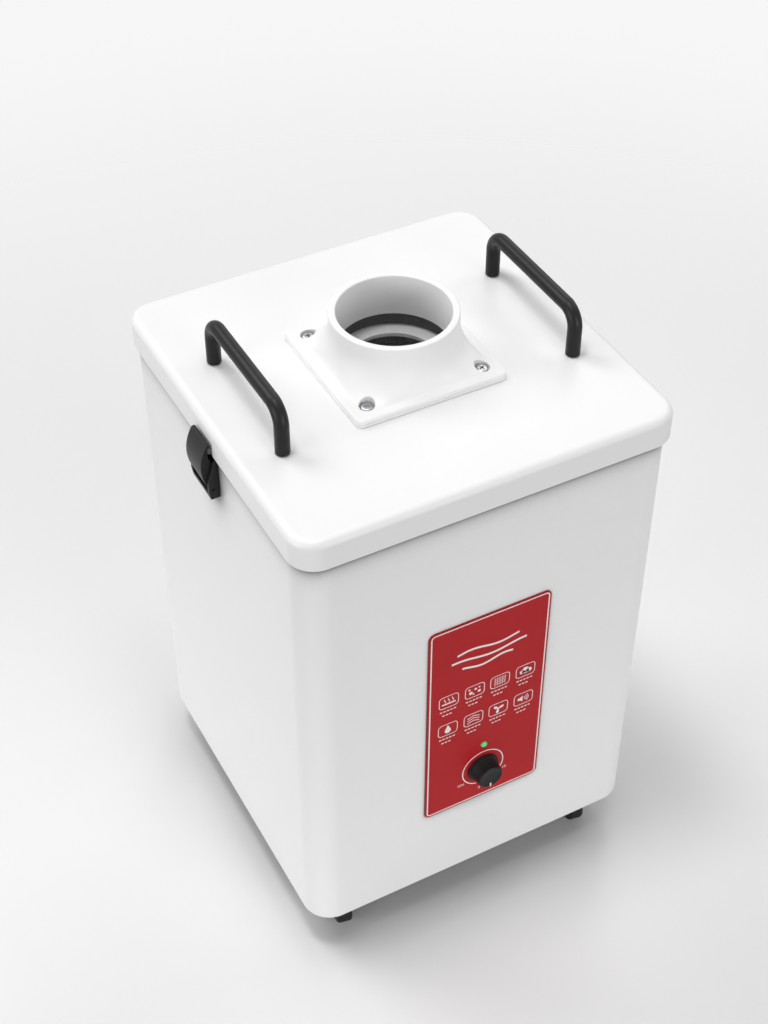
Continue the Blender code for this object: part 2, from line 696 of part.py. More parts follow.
def make_latch(side, sign):
    """Base with two ears, hooked lever on its pin, and the keeper on the lid's rim.

    All of it is drawn on the +X wall, in (outward, up) from the pin. The left one is turned half round.
    """
    wall = -LATCH_PIVOT_OUT
    rim = LATCH_BELOW_RIM - LATCH_PIVOT_RISE
    bottom = -LATCH_PIVOT_RISE
    frame = pivot(side + "_latch_pivot", (sign * (body_half_x - wall), 0, rim_bottom - rim),
                  (0, 0, 0 if sign > 0 else math.pi))
    rim_face = wall + lid_half_x - body_half_x
    keeper_low = rim + KEEPER_ABOVE_RIM
    keeper_high = keeper_low + KEEPER_HEIGHT
    keeper_face = rim_face + KEEPER_OUT
    seat = wall + GAP
    back_face = seat + LATCH_BACK_THICKNESS
    back_top = rim - LATCH_BACK_BELOW_RIM
    barrel = -back_face - GAP
    top = rim + LATCH_ABOVE_RIM
    claw_low = keeper_high + LATCH_KEEPER_LOOSENESS
    claw_tip = keeper_face - LATCH_CLAW_ENGAGEMENT
    inner = wall + LATCH_INNER_OUT
    arc_middle = (top - LATCH_ARC_DROP) / 2
    arc_centre = wall + LATCH_BULGE - LATCH_ARC_RADIUS

    outline = []
    for step in range(LATCH_ARC_STEPS + 1):
        up = -LATCH_TOE + (top + LATCH_TOE) * step / LATCH_ARC_STEPS
        outline.append((arc_centre + math.sqrt(LATCH_ARC_RADIUS ** 2 - (up - arc_middle) ** 2), up))
    outline += [
        (claw_tip, top),
        (claw_tip, claw_low),
        (keeper_face + GAP, claw_low),
        (keeper_face + GAP, rim),
        (inner, back_top),
        (inner, barrel * LATCH_NECK_SHARE),
    ]
    for step in range(LATCH_ARC_STEPS + 1):
        angle = LATCH_BARREL_START + LATCH_BARREL_SWEEP * step / LATCH_ARC_STEPS
        outline.append((barrel * math.cos(angle), barrel * math.sin(angle)))
    half = LATCH_WIDTH / 2
    lever = add(side + "_latch_lever", sideways(outline, -half, half), BLACK_PLASTIC, frame)

    ear_inner = half + GAP
    ear_outer = ear_inner + LATCH_EAR_THICKNESS
    block_face = wall + LATCH_BASE_OUT
    ear_radius = barrel + LATCH_EAR_MARGIN
    ear = [(seat, bottom), (block_face, bottom), (block_face, -LATCH_BLOCK_DROP)]
    for step in range(LATCH_ARC_STEPS + 1):
        angle = LATCH_EAR_SWEEP * step / LATCH_ARC_STEPS
        ear.append((ear_radius * math.cos(angle), ear_radius * math.sin(angle)))
    ear += [(back_face, ear_radius * LATCH_EAR_NECK_SHARE), (back_face, back_top), (seat, back_top)]
    base = add(side + "_latch_base", sideways(ear, -ear_outer, ear_outer), BLACK_PLASTIC, frame)
    room = [(back_face, -LATCH_BLOCK_DROP), (block_face + OVERRUN, -LATCH_BLOCK_DROP),
            (block_face + OVERRUN, back_top + OVERRUN), (back_face, back_top + OVERRUN)]
    between = add(side + "_latch_room_cut", sideways(room, -ear_inner, ear_inner), None, frame)
    combine(base, between, "DIFFERENCE")

    for piece in (lever, base):
        drill(piece, piece.name + "_pin_cut", [(0, 0)], LATCH_PIN_RADIUS + GAP, -ear_outer - OVERRUN,
              ear_outer + OVERRUN, LATCH_PIN_SIDES, parent=frame, turn=FACING_FRONT)
    add(side + "_latch_pin", turned([
        (0, -ear_outer + GAP),
        (LATCH_PIN_RADIUS, -ear_outer + GAP),
        (LATCH_PIN_RADIUS, ear_outer - GAP),
    ], LATCH_PIN_SIDES), STEEL, frame, turn=FACING_FRONT)
    keeper = [
        (rim_face + GAP, keeper_low),
        (keeper_face, keeper_low + KEEPER_ABOVE_RIM),
        (keeper_face, keeper_high),
        (rim_face + GAP, keeper_high),
    ]
    add(side + "_latch_keeper", sideways(keeper, -KEEPER_WIDTH / 2, KEEPER_WIDTH / 2), WHITE, frame)


def make_control_panel(wrap):
    """Red face plate, knob on its spindle, lamp, and the potentiometer and board behind the wall.

    It is drawn looking at the front: x across, y up and z out of the wall.
    """
    face = pivot("front_face", (0, -body_half_y, 0), FACING_FRONT)
    middle = panel_bottom + PANEL_HEIGHT / 2
    holes = [circle(bush_radius + GAP, 0, BUSH_SIDES, (0, knob_height)),
             circle(LAMP_RADIUS + GAP, 0, BUSH_SIDES, (0, lamp_height))]
    seat = GAP + PANEL_THICKNESS
    outline = rounded(PANEL_WIDTH / 2, PANEL_HEIGHT / 2, PANEL_CORNER, 0, INLET_STEPS, (0, middle))
    add("control_panel", slab(outline, holes, GAP, seat), RED, face)
    bm = bmesh.new()
    for hole in holes:
        prism(hole, -BODY_SHEET - OVERRUN, OVERRUN, bm)
    combine(wrap, add("front_wall_cut", bm, None, face), "DIFFERENCE")

    axis = pivot("knob_axis", (0, knob_height, 0), parent=face)
    bore = SPINDLE_RADIUS + GAP
    knob_seat = seat + GAP
    bore_end = knob_seat + KNOB_BORE_DEPTH
    knob = add("control_knob", turned([
        (0, KNOB_REACH),
        (KNOB_FACE_RADIUS - KNOB_EDGE_ROUND, KNOB_REACH),
        (KNOB_FACE_RADIUS, KNOB_REACH - KNOB_EDGE_ROUND),
        (KNOB_GRIP_RADIUS, knob_seat + KNOB_SKIRT_THICKNESS),
        (KNOB_SKIRT_RADIUS, knob_seat + KNOB_SKIRT_THICKNESS),
        (KNOB_SKIRT_RADIUS, knob_seat),
        (bore, knob_seat),
        (bore, bore_end),
    ], KNOB_SIDES), BLACK_PLASTIC, axis)
    pointer = rectangle(KNOB_POINTER_WIDTH / 2, KNOB_POINTER_LENGTH, (0, -KNOB_FACE_RADIUS))
    groove = prism(pointer, KNOB_REACH - KNOB_POINTER_DEPTH, KNOB_REACH + OVERRUN)
    combine(knob, add("knob_pointer_cut", groove, None, axis), "DIFFERENCE")

    pot_front = -BODY_SHEET - GAP
    pot_back = pot_front - POT_DEPTH
    add("potentiometer", turned([
        (0, pot_back),
        (POT_RADIUS, pot_back),
        (POT_RADIUS, pot_front),
        (bush_radius, pot_front),
        (bush_radius, seat),
        (bore, seat),
        (bore, pot_back + POT_WALL),
    ], BUSH_SIDES), ZINC, axis)
    add("knob_spindle", turned([
        (0, pot_back + POT_WALL + GAP),
        (SPINDLE_RADIUS, pot_back + POT_WALL + GAP),
        (SPINDLE_RADIUS, bore_end - GAP),
    ], BUSH_SIDES), STEEL, axis)

    wide_share, narrow_share = LAMP_DOME_SHARES
    add("status_lamp", turned([
        (0, GAP - board_front),
        (LAMP_RADIUS, GAP - board_front),
        (LAMP_RADIUS, pot_front - LAMP_COLLAR_THICKNESS),
        (LAMP_COLLAR_RADIUS, pot_front - LAMP_COLLAR_THICKNESS),
        (LAMP_COLLAR_RADIUS, pot_front),
        (LAMP_RADIUS, pot_front),
        (LAMP_RADIUS, seat),
        (LAMP_RADIUS * wide_share, seat + LAMP_DOME_HEIGHT / 2),
        (LAMP_RADIUS * narrow_share, seat + LAMP_DOME_HEIGHT),
    ], BUSH_SIDES), GREEN, face, (0, lamp_height, 0))

    low = knob_height - BOARD_BELOW_KNOB
    high = lamp_height + BOARD_ABOVE_LAMP
    board_middle = (low + high) / 2
    board_low = -board_front - BOARD_THICKNESS
    sheet = rectangle(BOARD_WIDTH / 2, (high - low) / 2, (0, board_middle))
    board = add("control_board", prism(sheet, board_low, -board_front), BOARD_GREEN, face)
    rise = board_low + BOARD_THICKNESS / 2
    bm = bmesh.new()
    for column, row in ((-2, 1), (0, -1)):
        place = (column * PART_PITCH, board_middle + row * PART_PITCH)
        prism(rectangle(CHIP_WIDTH / 2, CHIP_LENGTH / 2, place), rise - CHIP_HEIGHT, rise, bm)
    for column, row in ((1, 1), (2, 1), (2, -1)):
        place = (column * PART_PITCH, board_middle + row * PART_PITCH)
        prism(circle(CAPACITOR_RADIUS, 0, SCREW_SIDES, place), -board_back, rise, bm)
    combine(board, add("board_parts", bm, None, face), "UNION")


def make_filters():
    """Shelf across the cabinet, seal, pleated main filter and the pre-filter that lies on it."""
    half_x = inside_half_x - GAP
    half_y = inside_half_y - GAP
    corner = inside_corner - GAP
    flange_bottom = shelf_bottom - SHELF_FLANGE
    shelf = add("filter_shelf", loft([
        rounded(half_x - SHELF_SHEET, half_y - SHELF_SHEET, corner - SHELF_SHEET, shelf_bottom),
        rounded(half_x - SHELF_SHEET, half_y - SHELF_SHEET, corner - SHELF_SHEET, flange_bottom),
        rounded(half_x, half_y, corner, flange_bottom),
        rounded(half_x, half_y, corner, shelf_top),
    ]), ZINC)
    drill(shelf, "shelf_neck_cut", [(scroll_x, scroll_y)], NECK_RADIUS + 2 * GAP, shelf_bottom - OVERRUN,
          shelf_top + OVERRUN, NECK_SIDES)
    seal = []
    seal_low = shelf_top + GAP
    seal_high = seal_low + SEAL_THICKNESS
    for inset, height in ((0, seal_low), (0, seal_high), (SEAL_WIDTH, seal_high), (SEAL_WIDTH, seal_low)):
        seal.append(rounded(filter_half_x - inset, filter_half_y - inset, FILTER_CORNER - inset, height))
    add("filter_seal", loft(seal, closed=True), FOAM)

    inner_x = filter_half_x - FILTER_FRAME
    inner_y = filter_half_y - FILTER_FRAME
    inner_corner = FILTER_CORNER - FILTER_FRAME
    for name, low, high, look in (("main_filter", main_filter_bottom, main_filter_top, CARTRIDGE),
                                  ("pre_filter", pre_filter_bottom, pre_filter_top, FLEECE)):
        cartridge = add(name, loft([
            rounded(filter_half_x, filter_half_y, FILTER_CORNER, low),
            rounded(filter_half_x, filter_half_y, FILTER_CORNER, high),
            rounded(inner_x, inner_y, inner_corner, high),
            rounded(inner_x, inner_y, inner_corner, high - FILTER_RECESS),
        ]), look)
        if name == "main_filter":
            bm = bmesh.new()
            pitch = 2 * inner_x / PLEAT_COUNT
            for pleat in range(PLEAT_COUNT):
                x = -inner_x + pitch * (pleat + 1 / 2)
                crease = high - FILTER_RECESS - PLEAT_DEPTH
                fold = [(x - pitch / 3, high), (x + pitch / 3, high), (x, crease)]
                sideways(fold, -inner_y + GAP, inner_y - GAP, bm)
            combine(cartridge, add("pleat_cut", bm, None), "DIFFERENCE")


def scroll_outline(wall):
    """Outline of the scroll and its outlet duct, at a wall's thickness outside the air path."""
    first = math.acos((duct_low - wall - scroll_x) / (SCROLL_START_RADIUS + wall))
    points = []
    for step in range(SCROLL_STEPS + 1):
        angle = first + (2 * math.pi - first) * step / SCROLL_STEPS
        radius = scroll_radius(angle) + wall
        points.append((scroll_x + radius * math.cos(angle), scroll_y + radius * math.sin(angle)))
    end = duct_end - (SCROLL_WALL - wall)
    return points + [(duct_high + wall, end), (duct_low - wall, end)]


def make_blower(wrap):
    """Motor on its bracket, scroll housing with its cover, and the impeller on the motor's shaft."""
    centre = (scroll_x, scroll_y, 0)
    half = MOTOR_RADIUS + BRACKET_MARGIN
    bracket = add("motor_bracket", prism(rounded(half, half, BRACKET_CORNER, 0, INLET_STEPS),
                                         bracket_bottom, bracket_top), ZINC, location=centre)
    pitch = 2 * (half - BRACKET_CORNER)
    drill(bracket, "bracket_screw_cut", four_corners(pitch, pitch), SCREW_HOLE_RADIUS,
          bracket_bottom - OVERRUN, bracket_top + OVERRUN, location=centre)

    axis = pivot("fan_axis", centre)
    disc_bottom = scroll_floor + IMPELLER_ROOM
    disc_top = disc_bottom + IMPELLER_DISC
    bore = SHAFT_RADIUS + GAP
    boss_top = disc_bottom - RUNNING_GAP
    bore_floor = motor_top - SHAFT_IN_MOTOR
    edge = MOTOR_RADIUS - MOTOR_EDGE_ROUND
    add("fan_motor", turned([
        (0, motor_bottom),
        (edge, motor_bottom),
        (MOTOR_RADIUS, motor_bottom + MOTOR_EDGE_ROUND),
        (MOTOR_RADIUS, motor_top - MOTOR_EDGE_ROUND),
        (edge, motor_top),
        (MOTOR_BOSS_RADIUS, motor_top),
        (MOTOR_BOSS_RADIUS, boss_top),
        (bore, boss_top),
        (bore, bore_floor),
    ], MOTOR_SIDES), BLACK_METAL, axis)

    outer = scroll_outline(SCROLL_WALL)
    inner = scroll_outline(0)
    loops = [[(x, y, height) for x, y in outline] for outline, height in (
        (outer, scroll_bottom), (outer, scroll_top), (inner, scroll_top), (inner, scroll_floor))]
    housing = add("blower_housing", loft(loops), MOULDING)
    drill(housing, "housing_boss_cut", [(scroll_x, scroll_y)], MOTOR_BOSS_RADIUS + RUNNING_GAP,
          scroll_bottom - OVERRUN, scroll_floor + OVERRUN, MOTOR_SIDES)
    outlet = rounded(outlet_half_x, outlet_half_z, OUTLET_LIP, 0, 1, (-duct_middle[0], duct_middle[1]))
    rear = pivot("rear_face", (0, body_half_y, 0), FACING_REAR)
    opening = add("outlet_cut", prism(outlet, -BODY_SHEET - 2 * GAP - 2 * SCROLL_WALL, OVERRUN), None, rear)
    combine(housing, opening, "DIFFERENCE")
    combine(wrap, opening, "DIFFERENCE")

    neck_seat = circle(NECK_RADIUS - NECK_WALL / 2, 0, NECK_SIDES, (scroll_x, scroll_y))
    cover = add("blower_cover", slab(outer, [neck_seat], cover_bottom, cover_top), MOULDING)
    neck_bore = NECK_RADIUS - NECK_WALL
    neck_foot = (cover_bottom + cover_top) / 2
    combine(cover, add("cover_neck", turned([
        (NECK_RADIUS, neck_foot),
        (NECK_RADIUS, shelf_top),
        (neck_bore, shelf_top),
        (neck_bore, neck_foot),
    ], NECK_SIDES), None, axis), "UNION")

    top = scroll_top - IMPELLER_ROOM
    hub_top = disc_bottom + IMPELLER_HUB_HEIGHT
    impeller = add("fan_impeller", turned([
        (0, hub_top),
        (IMPELLER_HUB_RADIUS, hub_top),
        (IMPELLER_HUB_RADIUS, disc_top),
        (IMPELLER_RADIUS, disc_top),
        (IMPELLER_RADIUS, disc_bottom),
        (bore, disc_bottom),
        (bore, hub_top - IMPELLER_DISC),
    ], IMPELLER_SIDES), MOULDING, axis)
    blades = bmesh.new()
    inner_end = IMPELLER_EYE_RADIUS + BLADE_THICKNESS
    outer_end = IMPELLER_RADIUS - BLADE_THICKNESS
    for blade in range(IMPELLER_BLADES):
        start = 2 * math.pi * blade / IMPELLER_BLADES
        x_in, y_in = inner_end * math.cos(start), inner_end * math.sin(start)
        x_out, y_out = outer_end * math.cos(start + BLADE_SWEEP), outer_end * math.sin(start + BLADE_SWEEP)
        half_share = BLADE_THICKNESS / 2 / math.hypot(x_out - x_in, y_out - y_in)
        across_x = (y_in - y_out) * half_share
        across_y = (x_out - x_in) * half_share
        vane = [(x_in - across_x, y_in - across_y), (x_out - across_x, y_out - across_y),
                (x_out + across_x, y_out + across_y), (x_in + across_x, y_in + across_y)]
        prism(vane, disc_top - IMPELLER_DISC / 2, top - IMPELLER_DISC / 2, blades)
    combine(impeller, add("impeller_blades", blades, None, axis), "UNION")
    combine(impeller, add("impeller_ring", turned([
        (IMPELLER_RADIUS, top - IMPELLER_DISC),
        (IMPELLER_RADIUS, top),
        (IMPELLER_EYE_RADIUS, top),
        (IMPELLER_EYE_RADIUS, top - IMPELLER_DISC),
    ], IMPELLER_SIDES), None, axis), "UNION")
    add("fan_shaft", turned([
        (0, bore_floor + GAP),
        (SHAFT_RADIUS, bore_floor + GAP),
        (SHAFT_RADIUS, hub_top - IMPELLER_DISC - GAP),
    ], SHAFT_SIDES), STEEL, axis)
    return rear


def make_rear(wrap, rear):
    """Exhaust grille and power socket on the rear wall, and the supply box on the base.

    The rear is drawn looking at it from behind: x across, y up and z out of the wall.
    """
    middle = (-duct_middle[0], duct_middle[1])
    half_x = outlet_half_x + GRILLE_BORDER
    half_z = outlet_half_z + GRILLE_BORDER
    pitch = 2 * outlet_half_z / GRILLE_SLOTS
    slots = []
    for slot in range(GRILLE_SLOTS):
        height = middle[1] - outlet_half_z + pitch * (slot + 1 / 2)
        slots.append(rectangle(outlet_half_x, GRILLE_SLOT_HEIGHT / 2, (middle[0], height)))
    add("exhaust_grille", slab(rounded(half_x, half_z, GRILLE_CORNER, 0, INLET_STEPS, middle), slots,
                               GAP, GAP + GRILLE_THICKNESS), BLACK_PLASTIC, rear)

    place = (body_half_x - INLET_FROM_SIDE, base_bottom + INLET_ABOVE_BASE, 0)
    socket = pivot("socket_frame", place, parent=rear)
    socket_x = INLET_BODY_WIDTH / 2 - INLET_SOCKET_WALL
    socket_z = INLET_BODY_HEIGHT / 2 - INLET_SOCKET_WALL
    socket_corner = INLET_CORNER - INLET_SOCKET_WALL
    face = GAP + INLET_FLANGE_THICKNESS
    floor = face - INLET_SOCKET_DEPTH
    end = face - INLET_BODY_DEPTH
    inlet = add("power_inlet", loft([
        rounded(socket_x, socket_z, socket_corner, floor, INLET_STEPS),
        rounded(socket_x, socket_z, socket_corner, face, INLET_STEPS),
        rounded(INLET_FLANGE_WIDTH / 2, INLET_FLANGE_HEIGHT / 2, INLET_CORNER, face, INLET_STEPS),
        rounded(INLET_FLANGE_WIDTH / 2, INLET_FLANGE_HEIGHT / 2, INLET_CORNER, GAP, INLET_STEPS),
        rounded(INLET_BODY_WIDTH / 2, INLET_BODY_HEIGHT / 2, INLET_CORNER, GAP, INLET_STEPS),
        rounded(INLET_BODY_WIDTH / 2, INLET_BODY_HEIGHT / 2, INLET_CORNER, end, INLET_STEPS),
    ]), BLACK_PLASTIC, socket)
    pins = bmesh.new()
    for column in (-1, 0, 1):
        lift = INLET_PIN_LIFT if column == 0 else -INLET_PIN_LIFT
        prism(rectangle(INLET_PIN_WIDTH / 2, INLET_PIN_HEIGHT / 2, (column * INLET_PIN_PITCH, lift)),
              floor - INLET_SOCKET_WALL / 2, floor + INLET_PIN_LENGTH, pins)
    combine(inlet, add("inlet_pins", pins, None, socket), "UNION")
    body = rounded(INLET_BODY_WIDTH / 2 + GAP, INLET_BODY_HEIGHT / 2 + GAP, INLET_CORNER, 0, INLET_STEPS)
    opening = add("inlet_wall_cut", prism(body, -BODY_SHEET - OVERRUN, OVERRUN), None, socket)
    combine(wrap, opening, "DIFFERENCE")

    half_width = SUPPLY_WIDTH / 2
    half_depth = SUPPLY_DEPTH / 2
    x = -inside_half_x + SUPPLY_FROM_SIDE + half_width
    place = (x, inside_half_y - SUPPLY_FROM_REAR - half_depth, 0)
    low = base_top + GAP
    high = low + SUPPLY_HEIGHT
    box = rounded(half_width, half_depth, SUPPLY_CORNER, 0, INLET_STEPS)
    supply = add("power_supply", prism(box, low, high), CASE, location=place)
    grooves = bmesh.new()
    pitch = SUPPLY_DEPTH / (SUPPLY_GROOVES + 1)
    for groove in range(SUPPLY_GROOVES):
        y = -half_depth + pitch * (groove + 1)
        prism(rectangle(half_width - SUPPLY_GROOVE_INSET, pitch / 4, (0, y)), high - SUPPLY_GROOVE_DEPTH,
              high + OVERRUN, grooves)
    combine(supply, add("supply_groove_cut", grooves, None, location=place), "DIFFERENCE")


def make_caster(name, x, y):
    """Swivel caster: top plate with its kingpin, fork, wheel and axle."""
    plate_low = base_bottom - GAP - CASTER_PLATE_THICKNESS
    boss_low = plate_low - CASTER_BOSS_HEIGHT
    crown_high = boss_low - RUNNING_GAP
    crown_low = crown_high - FORK_SHEET
    head_high = crown_low - RUNNING_GAP
    wheel_radius = (crown_low - WHEEL_ROOM) / 2
    mount = pivot(name + "_place", (x, y, 0))
    outline = rounded(CASTER_PLATE_LENGTH / 2, CASTER_PLATE_WIDTH / 2, CASTER_PLATE_CORNER, 0,
                      CASTER_PLATE_STEPS)
    plate = add(name + "_plate", prism(outline, plate_low, base_bottom - GAP), ZINC, mount)
    root = plate_low + CASTER_PLATE_THICKNESS / 2
    combine(plate, add(name + "_kingpin", turned([
        (0, root),
        (CASTER_BOSS_RADIUS, root),
        (CASTER_BOSS_RADIUS, boss_low + CASTER_BOSS_ROUND),
        (CASTER_BOSS_RADIUS - CASTER_BOSS_ROUND, boss_low),
        (KINGPIN_RADIUS, boss_low),
        (KINGPIN_RADIUS, head_high),
        (KINGPIN_HEAD_RADIUS, head_high),
        (KINGPIN_HEAD_RADIUS, head_high - KINGPIN_HEAD_HEIGHT),
    ], CASTER_SIDES), None, mount), "UNION")

    swivel = pivot(name + "_swivel", (0, 0, 0), (0, 0, CASTER_TURN), mount)
    inner = WHEEL_WIDTH / 2 + RUNNING_GAP
    outer = inner + FORK_SHEET
    foot = wheel_radius - FORK_EYE_RADIUS - OVERRUN
    bend = [(-outer, foot), (-outer, crown_high), (outer, crown_high), (outer, foot), (inner, foot),
            (inner, crown_low), (-inner, crown_low), (-inner, foot)]
    reach = CASTER_TRAIL + FORK_REAR
    loops = [[(along, out, up) for out, up in bend] for along in (-reach, reach)]
    fork = add(name + "_fork", loft(loops), CHROME, swivel)
    above = crown_high + OVERRUN
    shape = [(FORK_REAR, above), (-FORK_FRONT, above), (-FORK_FRONT, crown_low)]
    for step in range(FORK_EYE_STEPS + 1):
        angle = FORK_EYE_START + FORK_EYE_SWEEP * step / FORK_EYE_STEPS
        x_eye = CASTER_TRAIL + FORK_EYE_RADIUS * math.cos(angle)
        shape.append((x_eye, wheel_radius + FORK_EYE_RADIUS * math.sin(angle)))
    shape.append((FORK_REAR, crown_low))
    sides = sideways(shape, -outer - OVERRUN, outer + OVERRUN)
    combine(fork, add(name + "_fork_shape", sides, None, swivel), "INTERSECT")
    drill(fork, name + "_kingpin_cut", [(0, 0)], KINGPIN_RADIUS + GAP, crown_low - OVERRUN, above,
          CASTER_SIDES, parent=swivel)
    hub = pivot(name + "_hub", (CASTER_TRAIL, 0, wheel_radius), FACING_FRONT, swivel)
    drill(fork, name + "_axle_cut", [(0, 0)], AXLE_RADIUS + GAP, -outer - OVERRUN, outer + OVERRUN,
          AXLE_SIDES, parent=hub)

    half = WHEEL_WIDTH / 2
    tread = wheel_radius / math.cos(math.pi / WHEEL_SIDES)
    side = [
        (AXLE_RADIUS + GAP, half),
        (WHEEL_HUB_RADIUS, half),
        (WHEEL_HUB_RADIUS, half - WHEEL_RECESS),
        (tread - WHEEL_RIM, half - WHEEL_RECESS),
        (tread - WHEEL_RIM, half),
        (tread - WHEEL_TREAD_ROUND, half),
        (tread, half - WHEEL_TREAD_ROUND),
    ]
    profile = side + [(radius, -height) for radius, height in reversed(side)]
    add(name + "_wheel", turned(profile, WHEEL_SIDES, 1 / 2), TYRE, hub)
    end = outer + GAP
    add(name + "_axle", turned([
        (0, -end - AXLE_HEAD_THICKNESS),
        (AXLE_HEAD_RADIUS, -end - AXLE_HEAD_THICKNESS),
        (AXLE_HEAD_RADIUS, -end),
        (AXLE_RADIUS, -end),
        (AXLE_RADIUS, end),
        (AXLE_HEAD_RADIUS, end),
        (AXLE_HEAD_RADIUS, end + AXLE_HEAD_THICKNESS),
    ], AXLE_SIDES), STEEL, hub)


cabinet = make_cabinet()
make_lid()
make_collar()
make_handle("left_handle", -handle_spacing / 2)
make_handle("right_handle", handle_spacing / 2)
make_latch("left", -1)
make_latch("right", 1)
make_control_panel(cabinet)
make_filters()
rear_face = make_blower(cabinet)
make_rear(cabinet, rear_face)
for row, sign_y in (("front", -1), ("rear", 1)):
    for column, sign_x in (("left", -1), ("right", 1)):
        make_caster(f"{row}_{column}_caster", sign_x * (body_half_x - CASTER_INSET),
                    sign_y * (body_half_y - CASTER_INSET))
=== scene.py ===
"""Looks of the fume extractor: finer shapes, materials, printed marks, floor, light and camera."""
import math

import bmesh
import bpy
from mathutils import Matrix, Vector


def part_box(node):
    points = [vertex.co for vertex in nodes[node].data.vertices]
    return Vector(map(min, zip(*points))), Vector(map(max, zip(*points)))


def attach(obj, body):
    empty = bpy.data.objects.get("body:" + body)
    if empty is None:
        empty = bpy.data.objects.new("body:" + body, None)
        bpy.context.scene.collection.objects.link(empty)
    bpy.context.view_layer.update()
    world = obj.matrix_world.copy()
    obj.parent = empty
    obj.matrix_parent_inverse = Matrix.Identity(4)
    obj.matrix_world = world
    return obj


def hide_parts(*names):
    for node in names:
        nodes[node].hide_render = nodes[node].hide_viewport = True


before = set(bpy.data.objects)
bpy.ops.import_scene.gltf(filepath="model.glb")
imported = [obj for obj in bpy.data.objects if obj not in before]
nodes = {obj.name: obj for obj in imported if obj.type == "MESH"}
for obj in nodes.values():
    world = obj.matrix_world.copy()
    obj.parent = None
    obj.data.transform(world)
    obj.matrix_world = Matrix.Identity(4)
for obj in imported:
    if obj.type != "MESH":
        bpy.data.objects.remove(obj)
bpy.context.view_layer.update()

# The cabinet's middle, which every piece is drawn around
low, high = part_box("cabinet_shell")
BACK = (low.y + high.y) / 2
GAP = 0.0003
SMOOTH = math.radians(38)

# Sizes that the finer pieces share with the solids
BODY_HALF = 0.130
BODY_CORNER = 0.0205
BODY_SHEET = 0.0012
FLANGE = 0.012
FLANGE_CORNER = 0.012
BASE = low.z
WALL_TOP = high.z
low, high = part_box("lid_shell")
RIM = low.z
LID_TOP = high.z
LID_HALF = high.x
LID_CORNER = 0.0185
LID_SHEET = 0.0018
LID_ROUND = 0.0055
COLLAR_R = 0.0414
BORE_R = 0.0367
PLATE_HALF = 0.0531
SCREW_PITCH = 0.0812
HANDLE_X = 0.1023
HANDLE_Y = 0.050
SCREW_HOLE = 0.0024
SPINDLE_HOLE = 0.0051
LAMP_HOLE = 0.0027

# Widths of the rounded edges, from a film's to a soft seal's
EDGE_FILM = 0.0002
EDGE_SHEET = 0.0003
EDGE_PLATE = 0.0004
EDGE_MOULDED = 0.0005
EDGE_BOARD = 0.0006
EDGE_SEAL = 0.0009
EDGE_FOAM = 0.0010

# How far a cutter reaches into a wall, out past a face, and to either side of a cross hole
CUT_IN = 0.004
CUT_OUT = 0.002
CUT_ACROSS = 0.02


# Materials
def nodes_of(name):
    """New material, with its node tree and its Principled shader."""
    material = bpy.data.materials.new(name)
    material.use_nodes = True
    tree = material.node_tree
    shader = tree.nodes["Principled BSDF"]
    return material, tree, shader


def texture_space(tree, scale=(1, 1, 1)):
    """Object coordinates, stretched by a scale."""
    coordinates = tree.nodes.new("ShaderNodeTexCoord")
    mapping = tree.nodes.new("ShaderNodeMapping")
    mapping.inputs["Scale"].default_value = scale
    tree.links.new(coordinates.outputs["Object"], mapping.inputs["Vector"])
    return mapping.outputs["Vector"]


def noise(tree, space, scale, detail=4, roughness=0.55):
    """Fractal noise at a scale, in features a metre."""
    texture = tree.nodes.new("ShaderNodeTexNoise")
    texture.inputs["Scale"].default_value = scale
    texture.inputs["Detail"].default_value = detail
    texture.inputs["Roughness"].default_value = roughness
    tree.links.new(space, texture.inputs["Vector"])
    return texture.outputs["Fac"]


def ranged(tree, value, low_value, high_value, start=0.3, end=0.7):
    """Map a value from start..end to another range."""
    mapped = tree.nodes.new("ShaderNodeMapRange")
    mapped.inputs["From Min"].default_value = start
    mapped.inputs["From Max"].default_value = end
    mapped.inputs["To Min"].default_value = low_value
    mapped.inputs["To Max"].default_value = high_value
    tree.links.new(value, mapped.inputs["Value"])
    return mapped.outputs["Result"]


def blended(tree, value, dark, light):
    """Two colours mixed by a value."""
    mix = tree.nodes.new("ShaderNodeMix")
    mix.data_type = "RGBA"
    mix.inputs["A"].default_value = (*dark, 1)
    mix.inputs["B"].default_value = (*light, 1)
    tree.links.new(value, mix.inputs["Factor"])
    return mix.outputs["Result"]


def bumped(tree, shader, value, height, strength):
    """Bump from a value, its height in metres."""
    bump = tree.nodes.new("ShaderNodeBump")
    bump.inputs["Distance"].default_value = height
    bump.inputs["Strength"].default_value = strength
    tree.links.new(value, bump.inputs["Height"])
    tree.links.new(bump.outputs["Normal"], shader.inputs["Normal"])


def add_painted_shade(tree, colour, tone, reach, lift, closed, clear):
    """Paint shade into a colour: it turns towards a dark tone under an overhang and in the narrow gaps
    between pieces, by how much open sky an upward-leaning occlusion test finds.
    """
    normal = tree.nodes.new("ShaderNodeNewGeometry")
    raised = tree.nodes.new("ShaderNodeVectorMath")
    raised.inputs[1].default_value = (0, 0, lift)
    tree.links.new(normal.outputs["Normal"], raised.inputs[0])
    unit = tree.nodes.new("ShaderNodeVectorMath")
    unit.operation = "NORMALIZE"
    tree.links.new(raised.outputs[0], unit.inputs[0])
    occlusion = tree.nodes.new("ShaderNodeAmbientOcclusion")
    occlusion.inputs["Distance"].default_value = reach
    occlusion.samples = 32
    tree.links.new(unit.outputs[0], occlusion.inputs["Normal"])
    mix = tree.nodes.new("ShaderNodeMix")
    mix.data_type = "RGBA"
    mix.inputs["A"].default_value = (*tone, 1)
    tree.links.new(ranged(tree, occlusion.outputs["AO"], 0, 1, closed, clear), mix.inputs["Factor"])
    tree.links.new(colour, mix.inputs["B"])
    return mix.outputs["Result"]


